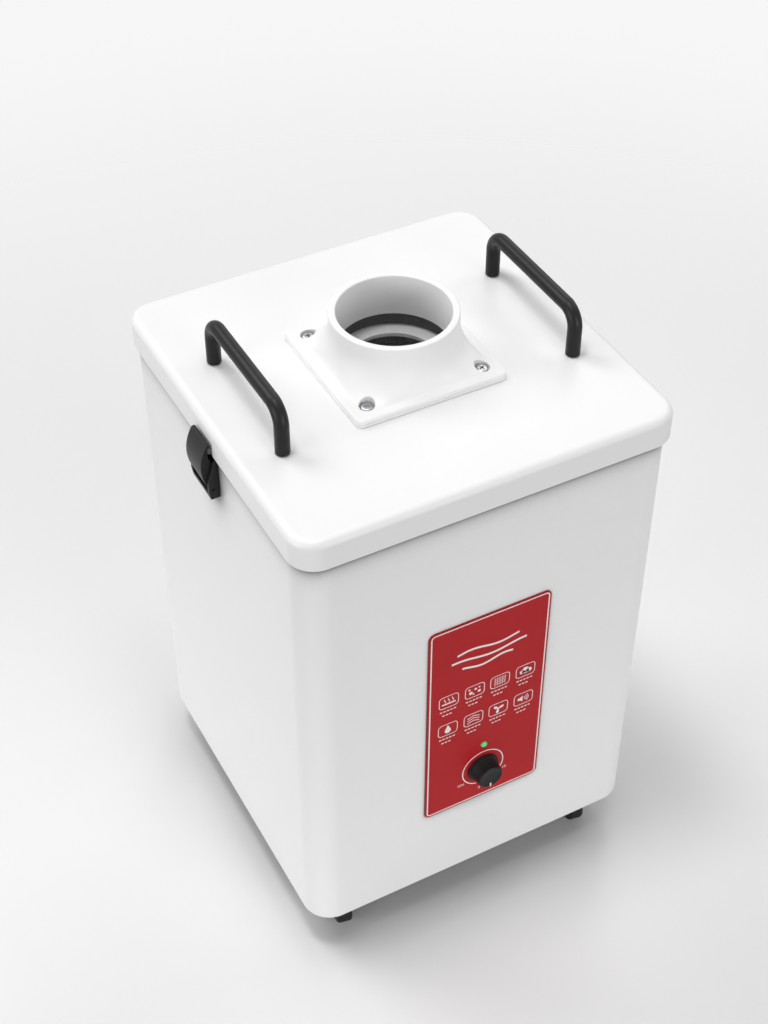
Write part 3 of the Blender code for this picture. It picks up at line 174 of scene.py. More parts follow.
def surface(name, colour, rough, metallic=0.0, vary=0.04, grain=900, relief=0.00003, strength=0.25,
            stretch=(1, 1, 1), patch=14, specular=0.5, coat=0.0, joints=None):
    """Procedural finish: colour and roughness that drift a little, and a fine grain."""
    material, tree, shader = nodes_of(name)
    space = texture_space(tree, stretch)
    drift = ranged(tree, noise(tree, space, patch), 0, 1)
    dark = tuple(c * (1 - vary) for c in colour)
    light = tuple(min(1, c * (1 + vary)) for c in colour)
    tone = blended(tree, drift, dark, light)
    # Painted shade under overhangs and in the gaps between pieces, where asked for
    if joints:
        tone = add_painted_shade(tree, tone, *joints)
    tree.links.new(tone, shader.inputs["Base Color"])
    fine = noise(tree, space, grain, detail=3)
    sway = 0.12
    tree.links.new(ranged(tree, fine, rough * (1 - sway), min(1, rough * (1 + sway))),
                   shader.inputs["Roughness"])
    shader.inputs["Metallic"].default_value = metallic
    shader.inputs["Specular IOR Level"].default_value = specular
    shader.inputs["Coat Weight"].default_value = coat
    if relief:
        bumped(tree, shader, fine, relief, strength)
    return material


def speckled(name, colour, fleck, rough, size):
    """Fibre or foam: cells of two tones with a deep bump."""
    material, tree, shader = nodes_of(name)
    space = texture_space(tree)
    cells = tree.nodes.new("ShaderNodeTexVoronoi")
    cells.inputs["Scale"].default_value = size
    tree.links.new(space, cells.inputs["Vector"])
    nearest, farthest = 0.05, 0.7
    depth = ranged(tree, cells.outputs["Distance"], 0, 1, nearest, farthest)
    tree.links.new(blended(tree, depth, fleck, colour), shader.inputs["Base Color"])
    shader.inputs["Roughness"].default_value = rough
    bumped(tree, shader, depth, height=0.0006, strength=0.6)
    return material


# Painted shade under overhangs and between pieces: its dark tone, reach, upward lean, and the range of open
# sky over which it goes from that tone to the coat
PAINTED_SHADE = ((0.22, 0.22, 0.22), 0.035, 1.9, 0.41, 0.70)
WHITE = surface("white_coat_painted_shade", (0.900, 0.900, 0.897), 0.42, vary=0.006, grain=1500,
                relief=0.00002, strength=0.12, joints=PAINTED_SHADE)
# The lid's copy of the white coat is a little darker than the cabinet's: painted shade for its brightly lit
# top, which keeps it off pure white
LID_WHITE_DARKENED = surface("white_lid_coat_darkened", (0.885, 0.885, 0.882), 0.42, vary=0.006, grain=1500,
                    relief=0.00002, strength=0.12)
COLLAR_WHITE = surface("white_moulding", (0.895, 0.895, 0.893), 0.48, vary=0.006, grain=2200,
                       relief=0.00002, strength=0.10)
BLACK_METAL = surface("black_coat", (0.012, 0.012, 0.013), 0.38, vary=0.15, grain=2600,
                      relief=0.00003, strength=0.3, specular=0.2)
BLACK_PLASTIC = surface("black_plastic", (0.014, 0.014, 0.015), 0.44, vary=0.12, grain=2400,
                        relief=0.00003, strength=0.3, specular=0.25)
KNOB_BLACK = surface("knob_plastic", (0.007, 0.008, 0.008), 0.42, vary=0.12, grain=3000,
                     relief=0.00002, strength=0.25, specular=0.2)
RED = surface("red_film", (0.460, 0.016, 0.020), 0.42, vary=0.03, grain=4000,
              relief=0.00001, strength=0.15, specular=0.1)
PRINT = surface("white_print", (0.90, 0.87, 0.86), 0.5, vary=0.02, grain=3000, relief=0)
STEEL = surface("bright_steel", (0.42, 0.42, 0.43), 0.34, metallic=1.0, vary=0.05, grain=2500,
                relief=0.00002, strength=0.2)
CHROME = surface("chrome", (0.78, 0.78, 0.80), 0.14, metallic=1.0, vary=0.03, grain=1200,
                 relief=0.00001, strength=0.1)
ZINC = surface("zinc", (0.56, 0.57, 0.58), 0.42, metallic=0.9, vary=0.08, grain=700,
               relief=0.00003, strength=0.2, stretch=(1, 6, 1))
RING = surface("grey_coat", (0.66, 0.66, 0.66), 0.55, vary=0.05, grain=1400,
               relief=0.00003, strength=0.2)
SEAL_GREY = surface("grey_rubber", (0.085, 0.085, 0.087), 0.7, vary=0.12, grain=1600,
                    relief=0.00004, strength=0.4)
TYRE = surface("caster_tyre", (0.009, 0.009, 0.010), 0.5, vary=0.15, grain=1400,
               relief=0.00004, strength=0.4, specular=0.25)
MOULDING = surface("grey_moulding", (0.16, 0.165, 0.17), 0.5, vary=0.06, grain=1500,
                   relief=0.00004, strength=0.3)
CASE = surface("cast_case", (0.50, 0.51, 0.52), 0.45, metallic=0.9, vary=0.05, grain=900,
               relief=0.00003, strength=0.3)
BOARD = surface("circuit_board", (0.02, 0.16, 0.07), 0.45, vary=0.2, grain=500,
                relief=0.00005, strength=0.3)
PAPER = surface("pleated_paper", (0.66, 0.64, 0.58), 0.85, vary=0.05, grain=1200,
                relief=0.00006, strength=0.5)
FLEECE = speckled("filter_fleece", (0.84, 0.85, 0.84), (0.62, 0.63, 0.62), 0.95, 700)
FOAM = speckled("grey_foam", (0.13, 0.13, 0.14), (0.03, 0.03, 0.03), 0.95, 1500)
GREEN = surface("green_lens", (0.075, 0.52, 0.16), 0.22, vary=0.05, grain=600, relief=0, coat=0.4)
lens = GREEN.node_tree.nodes["Principled BSDF"]
lens.inputs["Emission Color"].default_value = (0.05, 0.62, 0.16, 1)
lens.inputs["Emission Strength"].default_value = 0.35


# Mesh tools
def rounded(half_x, half_y, corner, height, steps=16, centre=(0, BACK)):
    """Points of a rounded rectangle at one height."""
    points = []
    for quarter, (sign_x, sign_y) in enumerate(((1, 1), (-1, 1), (-1, -1), (1, -1))):
        for step in range(steps + 1):
            angle = math.pi / 2 * (quarter + step / steps)
            points.append((centre[0] + sign_x * (half_x - corner) + corner * math.cos(angle),
                           centre[1] + sign_y * (half_y - corner) + corner * math.sin(angle), height))
    return points


def circle(radius, height, sides=64, centre=(0, 0)):
    """Points of a circle at one height."""
    turns = [2 * math.pi * side / sides for side in range(sides)]
    return [(centre[0] + radius * math.cos(a), centre[1] + radius * math.sin(a), height) for a in turns]


def loft(loops, closed=False, bm=None):
    """Skin a row of loops of equal count: a closed row makes a ring, an open one is capped."""
    bm = bm or bmesh.new()
    rows = [[bm.verts.new(point) for point in loop] for loop in loops]
    pairs = list(zip(rows, rows[1:]))
    if closed:
        pairs.append((rows[-1], rows[0]))
    for first, second in pairs:
        for index, corner in enumerate(first):
            after = (index + 1) % len(first)
            bm.faces.new((corner, first[after], second[after], second[index]))
    if not closed:
        bm.faces.new(rows[0])
        bm.faces.new(rows[-1])
    return bm


def turned(profile, sides=64):
    """Turn a profile of (radius, height) points about Z; one that starts off the axis is a ring."""
    loops = [circle(radius, height, sides) for radius, height in profile if radius > 0]
    return loft(loops, closed=profile[0][0] > 0)


def prism(outline, bottom, top, bm=None):
    """Extrude an outline of (x, y) points from one height to another."""
    return loft([[(point[0], point[1], height) for point in outline] for height in (bottom, top)], bm=bm)


def sideways(outline, near, far, bm=None):
    """Extrude an outline of (x, z) points from one y to another."""
    return loft([[(out, y, up) for out, up in outline] for y in (near, far)], bm=bm)


def mesh_piece(name, bm, material, matrix=None):
    """Object from a bmesh, smooth shaded with its sharp edges marked."""
    bmesh.ops.remove_doubles(bm, verts=bm.verts, dist=0.000001)
    bmesh.ops.recalc_face_normals(bm, faces=bm.faces)
    mesh = bpy.data.meshes.new(name)
    bm.to_mesh(mesh)
    bm.free()
    if matrix is not None:
        mesh.transform(matrix)
    mesh.shade_smooth()
    mesh.set_sharp_from_angle(angle=SMOOTH)
    if material:
        mesh.materials.append(material)
    piece = bpy.data.objects.new(name, mesh)
    bpy.context.scene.collection.objects.link(piece)
    return piece


def cut(piece, bm, matrix=None, operation="DIFFERENCE"):
    """Cut a piece by a solid, and keep the result."""
    tool = mesh_piece("cutter", bm, None, matrix)
    boolean = piece.modifiers.new("cut", "BOOLEAN")
    boolean.operation = operation
    boolean.solver = "EXACT"
    boolean.object = tool
    apply_all(piece)
    bpy.data.objects.remove(tool)


def apply_all(piece):
    """Turn the modified shape into the mesh."""
    bpy.context.view_layer.update()
    shape = piece.evaluated_get(bpy.context.evaluated_depsgraph_get())
    mesh = bpy.data.meshes.new_from_object(shape)
    piece.modifiers.clear()
    piece.data = mesh
    mesh.shade_smooth()
    mesh.set_sharp_from_angle(angle=SMOOTH)


def bevelled(piece, width, segments=2, angle=38, weld=False):
    """Round a piece's hard edges."""
    if weld:
        joined = piece.modifiers.new("weld", "WELD")
        joined.merge_threshold = 0.000002
    bevel = piece.modifiers.new("bevel", "BEVEL")
    bevel.width = width
    bevel.segments = segments
    bevel.limit_method = "ANGLE"
    bevel.angle_limit = math.radians(angle)
    bevel.harden_normals = True
    bevel.miter_outer = "MITER_ARC"
    return piece


def seat(piece, body, slot, *stands_for):
    """Put a piece on its body and hide the nodes it stands for; the slot is not used."""
    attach(piece, body)
    if stands_for:
        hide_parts(*stands_for)
    return piece


def corners(pitch_x, pitch_y):
    """The four corners of a rectangle."""
    return [(sx * pitch_x / 2, BACK + sy * pitch_y / 2) for sy in (-1, 1) for sx in (-1, 1)]


# Cabinet
inside = BODY_HALF - BODY_SHEET
inside_corner = BODY_CORNER - BODY_SHEET
flange = inside - FLANGE
wrap = mesh_piece("cabinet_wrap", loft([
    rounded(BODY_HALF, BODY_HALF, BODY_CORNER, BASE),
    rounded(BODY_HALF, BODY_HALF, BODY_CORNER, WALL_TOP),
    rounded(flange, flange, FLANGE_CORNER, WALL_TOP),
    rounded(flange, flange, FLANGE_CORNER, WALL_TOP - BODY_SHEET),
    rounded(inside, inside, inside_corner, WALL_TOP - BODY_SHEET),
    rounded(inside, inside, inside_corner, BASE),
], closed=True), WHITE)
FRONT = BACK - BODY_HALF
REAR = BACK + BODY_HALF
upright = Matrix.Rotation(math.pi / 2, 4, "X")
to_front = Matrix.Translation((0, FRONT, 0)) @ upright
to_rear = Matrix.Translation((0, REAR, 0)) @ Matrix.Rotation(math.pi, 4, "Z") @ upright
low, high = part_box("control_knob")
KNOB_Z = (low.z + high.z) / 2
low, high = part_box("status_lamp")
LAMP_Z = (low.z + high.z) / 2
low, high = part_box("exhaust_grille")
grille_x, grille_z = -(low.x + high.x) / 2, (low.z + high.z) / 2
grille_half_x, grille_half_z = (high.x - low.x) / 2, (high.z - low.z) / 2
low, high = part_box("power_inlet")
inlet_x, inlet_z = -(low.x + high.x) / 2, (low.z + high.z) / 2
holes = bmesh.new()
prism(circle(SPINDLE_HOLE, 0, 32, (0, KNOB_Z)), -CUT_IN, CUT_OUT, holes)
prism(circle(LAMP_HOLE, 0, 32, (0, LAMP_Z)), -CUT_IN, CUT_OUT, holes)
cut(wrap, holes, to_front)
holes = bmesh.new()
GRILLE_BORDER = 0.010
GRILLE_HOLE_CORNER = 0.002
INLET_HOLE_X, INLET_HOLE_Z, INLET_HOLE_CORNER = 0.014, 0.0103, 0.004
prism(rounded(grille_half_x - GRILLE_BORDER, grille_half_z - GRILLE_BORDER, GRILLE_HOLE_CORNER, 0, 4,
              (grille_x, grille_z)), -CUT_IN, CUT_OUT, holes)
prism(rounded(INLET_HOLE_X, INLET_HOLE_Z, INLET_HOLE_CORNER, 0, 6, (inlet_x, inlet_z)),
      -CUT_IN, CUT_OUT, holes)
cut(wrap, holes, to_rear)
bevelled(wrap, EDGE_SHEET)
seat(wrap, "cabinet", "white_powder_coat", "cabinet_shell")

# Lid
inner = LID_HALF - LID_SHEET
inner_corner = LID_CORNER - LID_SHEET
loops = [
    rounded(inner, inner, inner_corner, LID_TOP - LID_SHEET),
    rounded(inner, inner, inner_corner, RIM),
    rounded(LID_HALF, LID_HALF, LID_CORNER, RIM),
]
LID_ROUND_STEPS = 9
for step in range(LID_ROUND_STEPS + 1):
    angle = math.pi / 2 * step / LID_ROUND_STEPS
    inset = LID_ROUND * (1 - math.cos(angle))
    loops.append(rounded(LID_HALF - inset, LID_HALF - inset, LID_CORNER - inset,
                         LID_TOP - LID_ROUND * (1 - math.sin(angle))))
lid = mesh_piece("lid_cover", loft(loops), LID_WHITE_DARKENED)
holes = bmesh.new()
prism(circle(COLLAR_R, 0, 64, (0, BACK)), LID_TOP - CUT_IN, LID_TOP + CUT_OUT, holes)
for place in corners(SCREW_PITCH, SCREW_PITCH) + corners(2 * HANDLE_X, 2 * HANDLE_Y):
    prism(circle(SCREW_HOLE, 0, 16, place), LID_TOP - CUT_IN, LID_TOP + CUT_OUT, holes)
cut(lid, holes)
bevelled(lid, EDGE_PLATE)
seat(lid, "lid", "white_powder_coat", "lid_shell")

low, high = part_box("lid_gasket")
half = high.x
SEAL_WIDTH = 0.009
ring = mesh_piece("lid_seal", loft([
    rounded(half - inset, half - inset, BODY_CORNER - GAP - inset, height)
    for inset, height in ((0, low.z), (0, high.z), (SEAL_WIDTH, high.z), (SEAL_WIDTH, low.z))],
    closed=True), SEAL_GREY)
bevelled(ring, EDGE_SEAL, 3)
seat(ring, "lid", "dark_rubber", "lid_gasket")

# Hose collar
low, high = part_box("hose_collar")
PLATE_LOW, MOUTH = low.z, high.z
PLATE_THICK = 0.0055
PLATE_TOP = LID_TOP + PLATE_THICK
PLATE_CORNER = 0.0045
PLATE_EDGE = 0.001
PLATE_EDGE_STEPS = 3
RECESS_DEPTH = 0.0077
LIP_ROUND = 0.0009
LIP_STEPS = 4
FLARE_HEIGHT = 0.024
FLARE_STEPS = 18
FLARE_MARGIN = 0.005
FLARE_FOOT = PLATE_HALF - FLARE_MARGIN
FLARE_FOOT_CORNER = 0.010
SEAL_LIP = 0.0020
SEAL_REACH = 0.0022


def square(half_size, corner, height):
    """Points of a rounded square, or of a circle where its corner is its half size."""
    return rounded(half_size, half_size, corner, height, 20)


recess = COLLAR_R + SEAL_LIP + GAP
ledge = PLATE_LOW + RECESS_DEPTH
loops = [square(recess, recess, PLATE_LOW), square(recess, recess, ledge), square(BORE_R, BORE_R, ledge)]
for step in range(LIP_STEPS + 1):
    angle = math.pi / 2 * step / LIP_STEPS
    radius = BORE_R + LIP_ROUND * (1 - math.cos(angle))
    loops.append(square(radius, radius, MOUTH - LIP_ROUND + LIP_ROUND * math.sin(angle)))
for step in range(LIP_STEPS + 1):
    angle = math.pi / 2 * step / LIP_STEPS
    radius = COLLAR_R - LIP_ROUND * (1 - math.sin(angle))
    loops.append(square(radius, radius, MOUTH - LIP_ROUND + LIP_ROUND * math.cos(angle)))
for step in range(FLARE_STEPS + 1):
    angle = math.pi / 2 * step / FLARE_STEPS
    spread = 1 - math.cos(angle)
    half = COLLAR_R + spread * (FLARE_FOOT - COLLAR_R)
    corner = COLLAR_R + spread * (FLARE_FOOT_CORNER - COLLAR_R)
    loops.append(square(half, corner, PLATE_TOP + FLARE_HEIGHT * (1 - math.sin(angle))))
for step in range(PLATE_EDGE_STEPS + 1):
    angle = math.pi / 2 * step / PLATE_EDGE_STEPS
    inset = PLATE_EDGE * (1 - math.sin(angle))
    loops.append(square(PLATE_HALF - inset, PLATE_CORNER - inset,
                        PLATE_TOP - PLATE_EDGE * (1 - math.cos(angle))))
# Parting groove round the plate: how deep and how high over its underside
for inset, height in ((0, 0.0027), (0.0004, 0.0025), (0.0004, 0.0021), (0, 0.0019), (0, 0)):
    loops.append(square(PLATE_HALF - inset, PLATE_CORNER - inset, PLATE_LOW + height))
collar = mesh_piece("collar_body", loft(loops, closed=True), COLLAR_WHITE)
POCKET_R, POCKET_DEPTH = 0.0052, 0.003
pockets = bmesh.new()
for place in corners(SCREW_PITCH, SCREW_PITCH):
    prism(circle(POCKET_R, 0, 48, place), PLATE_TOP - POCKET_DEPTH, MOUTH, pockets)
cut(collar, pockets)
pockets = bmesh.new()
for place in corners(SCREW_PITCH, SCREW_PITCH):
    prism(circle(SCREW_HOLE, 0, 24, place), PLATE_LOW - CUT_OUT, PLATE_TOP - POCKET_DEPTH + CUT_OUT, pockets)
cut(collar, pockets)
seat(collar, "lid", "white_powder_coat", "hose_collar")

low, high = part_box("inlet_gasket")
outer, lip_in = COLLAR_R + SEAL_LIP, COLLAR_R - SEAL_REACH
lip_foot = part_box("collar_backing_plate")[1].z + GAP
ring = mesh_piece("inlet_seal", turned([
    (outer, low.z), (outer, high.z), (lip_in, high.z), (lip_in, lip_foot), (COLLAR_R - GAP, lip_foot),
    (COLLAR_R - GAP, low.z)], 96), SEAL_GREY, Matrix.Translation((0, BACK, 0)))
bevelled(ring, EDGE_PLATE)
seat(ring, "lid", "dark_rubber", "inlet_gasket")

low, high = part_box("collar_backing_plate")
RING_PLATE_CORNER, RING_HOLE = 0.006, 0.0293
plate = mesh_piece("inlet_plate", prism(rounded(high.x, high.x, RING_PLATE_CORNER, 0, 8), low.z, high.z),
                   RING)
holes = bmesh.new()
prism(circle(RING_HOLE, 0, 96, (0, BACK)), low.z - CUT_OUT, high.z + CUT_OUT, holes)
for place in corners(SCREW_PITCH, SCREW_PITCH):
    prism(circle(SCREW_HOLE, 0, 16, place), low.z - CUT_OUT, high.z + CUT_OUT, holes)
cut(plate, holes)
bevelled(plate, EDGE_PLATE)
seat(plate, "lid", "zinc_plated_sheet", "collar_backing_plate")


def pan_screw(name, matrix, shank):
    """Pan-head screw with a cross recess."""
    head, rise, thread = 0.0043, 0.0026, 0.0019
    flat_share, rim_share = 0.55, 0.35
    profile = [(0, -shank), (thread, -shank), (thread, 0), (head, 0)]
    for step in range(7):
        angle = math.pi / 2 * step / 6
        profile.append((head * (flat_share + (1 - flat_share) * math.cos(angle)),
                        rise * (rim_share + (1 - rim_share) * math.sin(angle))))
    screw = mesh_piece(name, turned(profile, 40), STEEL, matrix)
    long, narrow, floor_height, over = 0.0025, 0.0006, 0.0009, 0.001
    for half_x, half_y in ((long, narrow), (narrow, long)):
        bar = loft([[(sign_x * half_x / share_x, sign_y * half_y / share_y, height)
                     for sign_x, sign_y in ((-1, -1), (1, -1), (1, 1), (-1, 1))]
                    for share_x, share_y, height in ((1, 1, rise + over), (3, 2, floor_height))])
        cut(screw, bar, matrix)
    return screw


COLLAR_SCREW_SHANK = 0.0075
for number, (x, y) in enumerate(corners(SCREW_PITCH, SCREW_PITCH), 1):
    matrix = Matrix.Translation((x, y, PLATE_TOP - POCKET_DEPTH + GAP)) @ Matrix.Rotation(number, 4, "Z")
    seat(pan_screw(f"collar_fixing_{number}", matrix, COLLAR_SCREW_SHANK), "lid", "bright_steel",
         f"collar_screw_{number}")

# Handles
ROD_R, ROD_BEND, ROD_CHAMFER = 0.0048, 0.012, 0.0006
ROD_SIDES, BEND_STEPS = 40, 14
THREAD_DEPTH = 0.011
for side, sign in (("left", -1), ("right", 1)):
    node = side + "_handle"
    low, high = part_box(node)
    radius, bend = ROD_R, ROD_BEND
    top = high.z - radius
    path = [(-HANDLE_Y, low.z, 0, radius - ROD_CHAMFER), (-HANDLE_Y, low.z + ROD_CHAMFER, 0, radius)]
    for corner in (-1, 1):
        for step in range(BEND_STEPS + 1):
            lean = math.pi / 2 * (step / BEND_STEPS + (corner > 0))
            path.append((corner * (HANDLE_Y - bend) - bend * math.cos(lean),
                         top - bend + bend * math.sin(lean), lean, radius))
    path += [(HANDLE_Y, low.z + ROD_CHAMFER, math.pi, radius),
             (HANDLE_Y, low.z, math.pi, radius - ROD_CHAMFER)]
    loops = []
    for y, z, lean, reach in path:
        loops.append([(sign * HANDLE_X + reach * math.cos(a), BACK + y + reach * math.sin(a) * math.cos(lean),
                       z - reach * math.sin(a) * math.sin(lean))
                      for a in (2 * math.pi * s / ROD_SIDES for s in range(ROD_SIDES))])
    grip = mesh_piece(side + "_grip", loft(loops), BLACK_METAL)
    holes = bmesh.new()
    for end in (-1, 1):
        prism(circle(SCREW_HOLE, 0, 16, (sign * HANDLE_X, BACK + end * HANDLE_Y)),
              low.z - CUT_OUT, low.z + THREAD_DEPTH, holes)
    cut(grip, holes)
    seat(grip, "lid", "black_coated_metal", node)

# Latches, drawn in (outward, up) from the pin, as on the right wall
PIVOT_OUT, PIVOT_DROP = 0.0045, 0.0231
PIVOT_Z = RIM - PIVOT_DROP
PIN_HOLE = 0.0011
LATCH_HALF = 0.0115
KEEPER_OUT, KEEPER_ABOVE_RIM, KEEPER_HEIGHT, KEEPER_AIR = 0.0028, 0.0010, 0.0049, 0.0022
LEVER_ABOVE_RIM, LEVER_TOE, LEVER_ARC_R, LEVER_BULGE, LEVER_INSIDE = 0.0105, 0.0020, 0.034, 0.0107, 0.0037
CLAW_REACH = 0.0015
BARREL_START, BARREL_SWEEP, HEEL_SHARE = 140, 150, 1.2
CATCH_BACK, CATCH_BELOW_RIM, CATCH_OUT, CATCH_FOOT, CATCH_FLOOR = 0.0015, 0.0016, 0.0073, -0.008, -0.0043
CATCH_LIP, CATCH_LIP_DROP, CATCH_OPEN = 0.0012, 0.0006, 0.01
# The base's face from its foot up: how far out of the block's face, and how high over the pin
CATCH_FACE = ((-0.0008, CATCH_FOOT), (0.0004, -0.0010), (0.0002, 0.0065), (-0.0022, 0.0135))
EAR = 0.0022
for side, sign in (("left", -1), ("right", 1)):
    frame_matrix = Matrix.Translation((sign * (BODY_HALF + PIVOT_OUT), BACK, PIVOT_Z))
    if sign < 0:
        frame_matrix = frame_matrix @ Matrix.Rotation(math.pi, 4, "Z")
    wall, rim = -PIVOT_OUT, PIVOT_DROP
    rim_face = wall + LID_HALF - BODY_HALF
    keeper_face = rim_face + KEEPER_OUT
    claw_low = rim + KEEPER_ABOVE_RIM + KEEPER_HEIGHT + KEEPER_AIR
    claw_face = keeper_face - CLAW_REACH
    top = rim + LEVER_ABOVE_RIM
    back_face = wall + GAP + CATCH_BACK
    back_top = rim - CATCH_BELOW_RIM
    barrel = -back_face - GAP
    inner_out = wall + LEVER_INSIDE
    middle = (top - LEVER_TOE) / 2
    centre = wall + LEVER_BULGE - LEVER_ARC_R
    outline = []
    for step in range(29):
        up = -LEVER_TOE + (top + LEVER_TOE) * step / 28
        outline.append((centre + math.sqrt(LEVER_ARC_R ** 2 - (up - middle) ** 2), up))
    outline += [(claw_face, top), (claw_face, claw_low), (keeper_face + GAP, claw_low),
                (keeper_face + GAP, rim), (inner_out, back_top), (inner_out, barrel * HEEL_SHARE)]
    for step in range(17):
        angle = math.radians(BARREL_START + BARREL_SWEEP * step / 16)
        outline.append((barrel * math.cos(angle), barrel * math.sin(angle)))
    lever = mesh_piece(side + "_lever", sideways(outline, -LATCH_HALF, LATCH_HALF), BLACK_PLASTIC)
    cut(lever, prism(circle(PIN_HOLE, 0, 20), -CUT_ACROSS, CUT_ACROSS), upright)
    lever.data.transform(frame_matrix)
    bevelled(lever, EDGE_PLATE, 3)
    seat(lever, side + "_latch", "black_plastic", side + "_latch_lever")
    seated, block_face = wall + GAP, wall + CATCH_OUT
    ear_inner = LATCH_HALF + GAP
    ear_outer = ear_inner + EAR
    outline = [(seated, CATCH_FOOT)] + [(block_face + out, up) for out, up in CATCH_FACE]
    outline += [(back_face + CATCH_LIP, back_top - CATCH_LIP_DROP), (back_face, back_top), (seated, back_top)]
    base = mesh_piece(side + "_catch", sideways(outline, -ear_outer, ear_outer), BLACK_PLASTIC)
    cut(base, sideways([(back_face, CATCH_FLOOR), (CATCH_OPEN, CATCH_FLOOR), (CATCH_OPEN, rim),
                        (back_face, rim)], -ear_inner, ear_inner))
    cut(base, prism(circle(PIN_HOLE, 0, 20), -CUT_ACROSS, CUT_ACROSS), upright)
    base.data.transform(frame_matrix)
    bevelled(base, EDGE_PLATE, 3)
    seat(base, "cabinet", "black_plastic", side + "_latch_base")

# Control panel
low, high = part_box("control_panel")
PANEL_HALF_X, PANEL_LOW, PANEL_HIGH = high.x, low.z, high.z
FACE = FRONT - low.y
middle = (PANEL_LOW + PANEL_HIGH) / 2
PANEL_HALF_Z, PANEL_CORNER = (PANEL_HIGH - PANEL_LOW) / 2, 0.0045
panel = mesh_piece("panel_film", prism(rounded(PANEL_HALF_X, PANEL_HALF_Z, PANEL_CORNER, 0, 12, (0, middle)),
                                       GAP, FACE), RED, to_front)
holes = bmesh.new()
FILM_CUT = 0.003
prism(circle(SPINDLE_HOLE, 0, 40, (0, KNOB_Z)), 0, FILM_CUT, holes)
prism(circle(LAMP_HOLE, 0, 40, (0, LAMP_Z)), 0, FILM_CUT, holes)
cut(panel, holes, to_front)
bevelled(panel, EDGE_FILM)
seat(panel, "cabinet", "red_panel", "control_panel")

# The print is a thin layer, sunk a little into the film
PRINT_SUNK, PRINT_PROUD = 0.00002, 0.00006
PRINT_LOW, PRINT_HIGH = FACE - PRINT_SUNK, FACE + PRINT_PROUD
marks = bmesh.new()


def fill(outline):
    """A printed shape."""
    prism(outline, PRINT_LOW, PRINT_HIGH, marks)


def band(outer, inner_loop):
    """A printed closed line between two loops of equal count."""
    loft([[(x, y, h) for x, y, *_ in loop] for loop, h in (
        (outer, PRINT_LOW), (outer, PRINT_HIGH), (inner_loop, PRINT_HIGH), (inner_loop, PRINT_LOW))],
        closed=True, bm=marks)


def stroke(points, width, closed=False):
    """A printed line of even width along points."""
    left, right = [], []
    count = len(points)
    for index, (x, y) in enumerate(points):
        before = points[index - 1] if closed or index else points[0]
        after = points[(index + 1) % count] if closed or index < count - 1 else points[-1]
        dx, dy = after[0] - before[0], after[1] - before[1]
        length = math.hypot(dx, dy) or 1
        nx, ny = -dy / length * width / 2, dx / length * width / 2
        left.append((x + nx, y + ny))
        right.append((x - nx, y - ny))
    if closed:
        band(left, right)
    else:
        fill(left + right[::-1])


def arc(x, y, radius, start, end, steps=48):
    """Points of an arc, its angles in degrees."""
    turns = [math.radians(start + (end - start) * step / steps) for step in range(steps + 1)]
    return [(x + radius * math.cos(a), y + radius * math.sin(a)) for a in turns]


def frame_line(x, y, half_x, half_y, corner, width, steps=8):
    """A printed rounded frame."""
    band(rounded(half_x, half_y, corner, 0, steps, (x, y)),
         rounded(half_x - width, half_y - width, corner - width, 0, steps, (x, y)))


def dot(x, y, radius, sides=20):
    fill(circle(radius, 0, sides, (x, y)))


BORDER_INSET, BORDER_CORNER, BORDER_WIDTH = 0.0013, 0.0032, 0.0009
frame_line(0, middle, PANEL_HALF_X - BORDER_INSET, PANEL_HALF_Z - BORDER_INSET, BORDER_CORNER,
           BORDER_WIDTH, 12)
# The dial's arc, its ends in degrees from the right
DIAL_R, DIAL_START, DIAL_END, DIAL_WIDTH = 0.0160, -27, 252, 0.0008
stroke(arc(0, KNOB_Z, DIAL_R, DIAL_START, DIAL_END, 90), DIAL_WIDTH)

# Waves of air at the panel's head: the ends of each line
WAVES = ((-0.024, 0.022), (-0.028, 0.028), (-0.020, 0.018))
WAVE_Z, WAVE_PITCH, WAVE_HEIGHT, WAVE_WIDTH = PANEL_LOW + 0.1545, 0.0075, 0.0016, 0.0017
WAVE_PERIODS, WAVE_STEPS = 1.1, 60
for row, (start, end) in enumerate(WAVES):
    y = WAVE_Z - WAVE_PITCH * row
    stroke([(start + (end - start) * s / WAVE_STEPS,
             y + WAVE_HEIGHT * math.sin(2 * math.pi * WAVE_PERIODS * s / WAVE_STEPS + row))
            for s in range(WAVE_STEPS + 1)], WAVE_WIDTH)


def block(x, y, left, right, bottom, top):
    """A printed bar, its edges measured from a place."""
    fill([(x + left, y + bottom), (x + right, y + bottom), (x + right, y + top), (x + left, y + top)])


THIN_LINE = 0.0005


# The pictograms, each drawn about its middle
def smoke(x, y):
    block(x, y, -0.0052, 0.0052, -0.0024, -0.0012)
    for column in (-0.003, 0, 0.003):
        stroke([(x + column + 0.0006 * math.sin(s / 2), y - 0.0002 + 0.0036 * s / 12) for s in range(13)],
               THIN_LINE)


def dust(x, y):
    for dx, dy, r in ((-0.003, -0.001, 0.0014), (0.0006, 0.0016, 0.0010), (0.0034, -0.0014, 0.0012),
                      (0.0034, 0.0022, 0.0007), (-0.001, -0.0026, 0.0007), (-0.0042, 0.0024, 0.0008)):
        dot(x + dx, y + dy, r)


def mesh_sheet(x, y):
    pitch, wire, half_x, half_y = 0.0019, 0.00035, 0.0046, 0.0036
    for k in (-2, -1, 0, 1, 2):
        stroke([(x + pitch * k, y - half_y), (x + pitch * k, y + half_y)], wire)
    for k in (-1.5, -0.5, 0.5, 1.5):
        stroke([(x - half_x, y + pitch * k), (x + half_x, y + pitch * k)], wire)


def cloud(x, y):
    for dx, dy, r in ((-0.0026, -0.0008, 0.0018), (0, 0.0006, 0.0025), (0.0028, -0.0006, 0.0020)):
        dot(x + dx, y + dy, r)
    block(x, y, -0.0026, 0.0028, -0.0026, -0.0004)


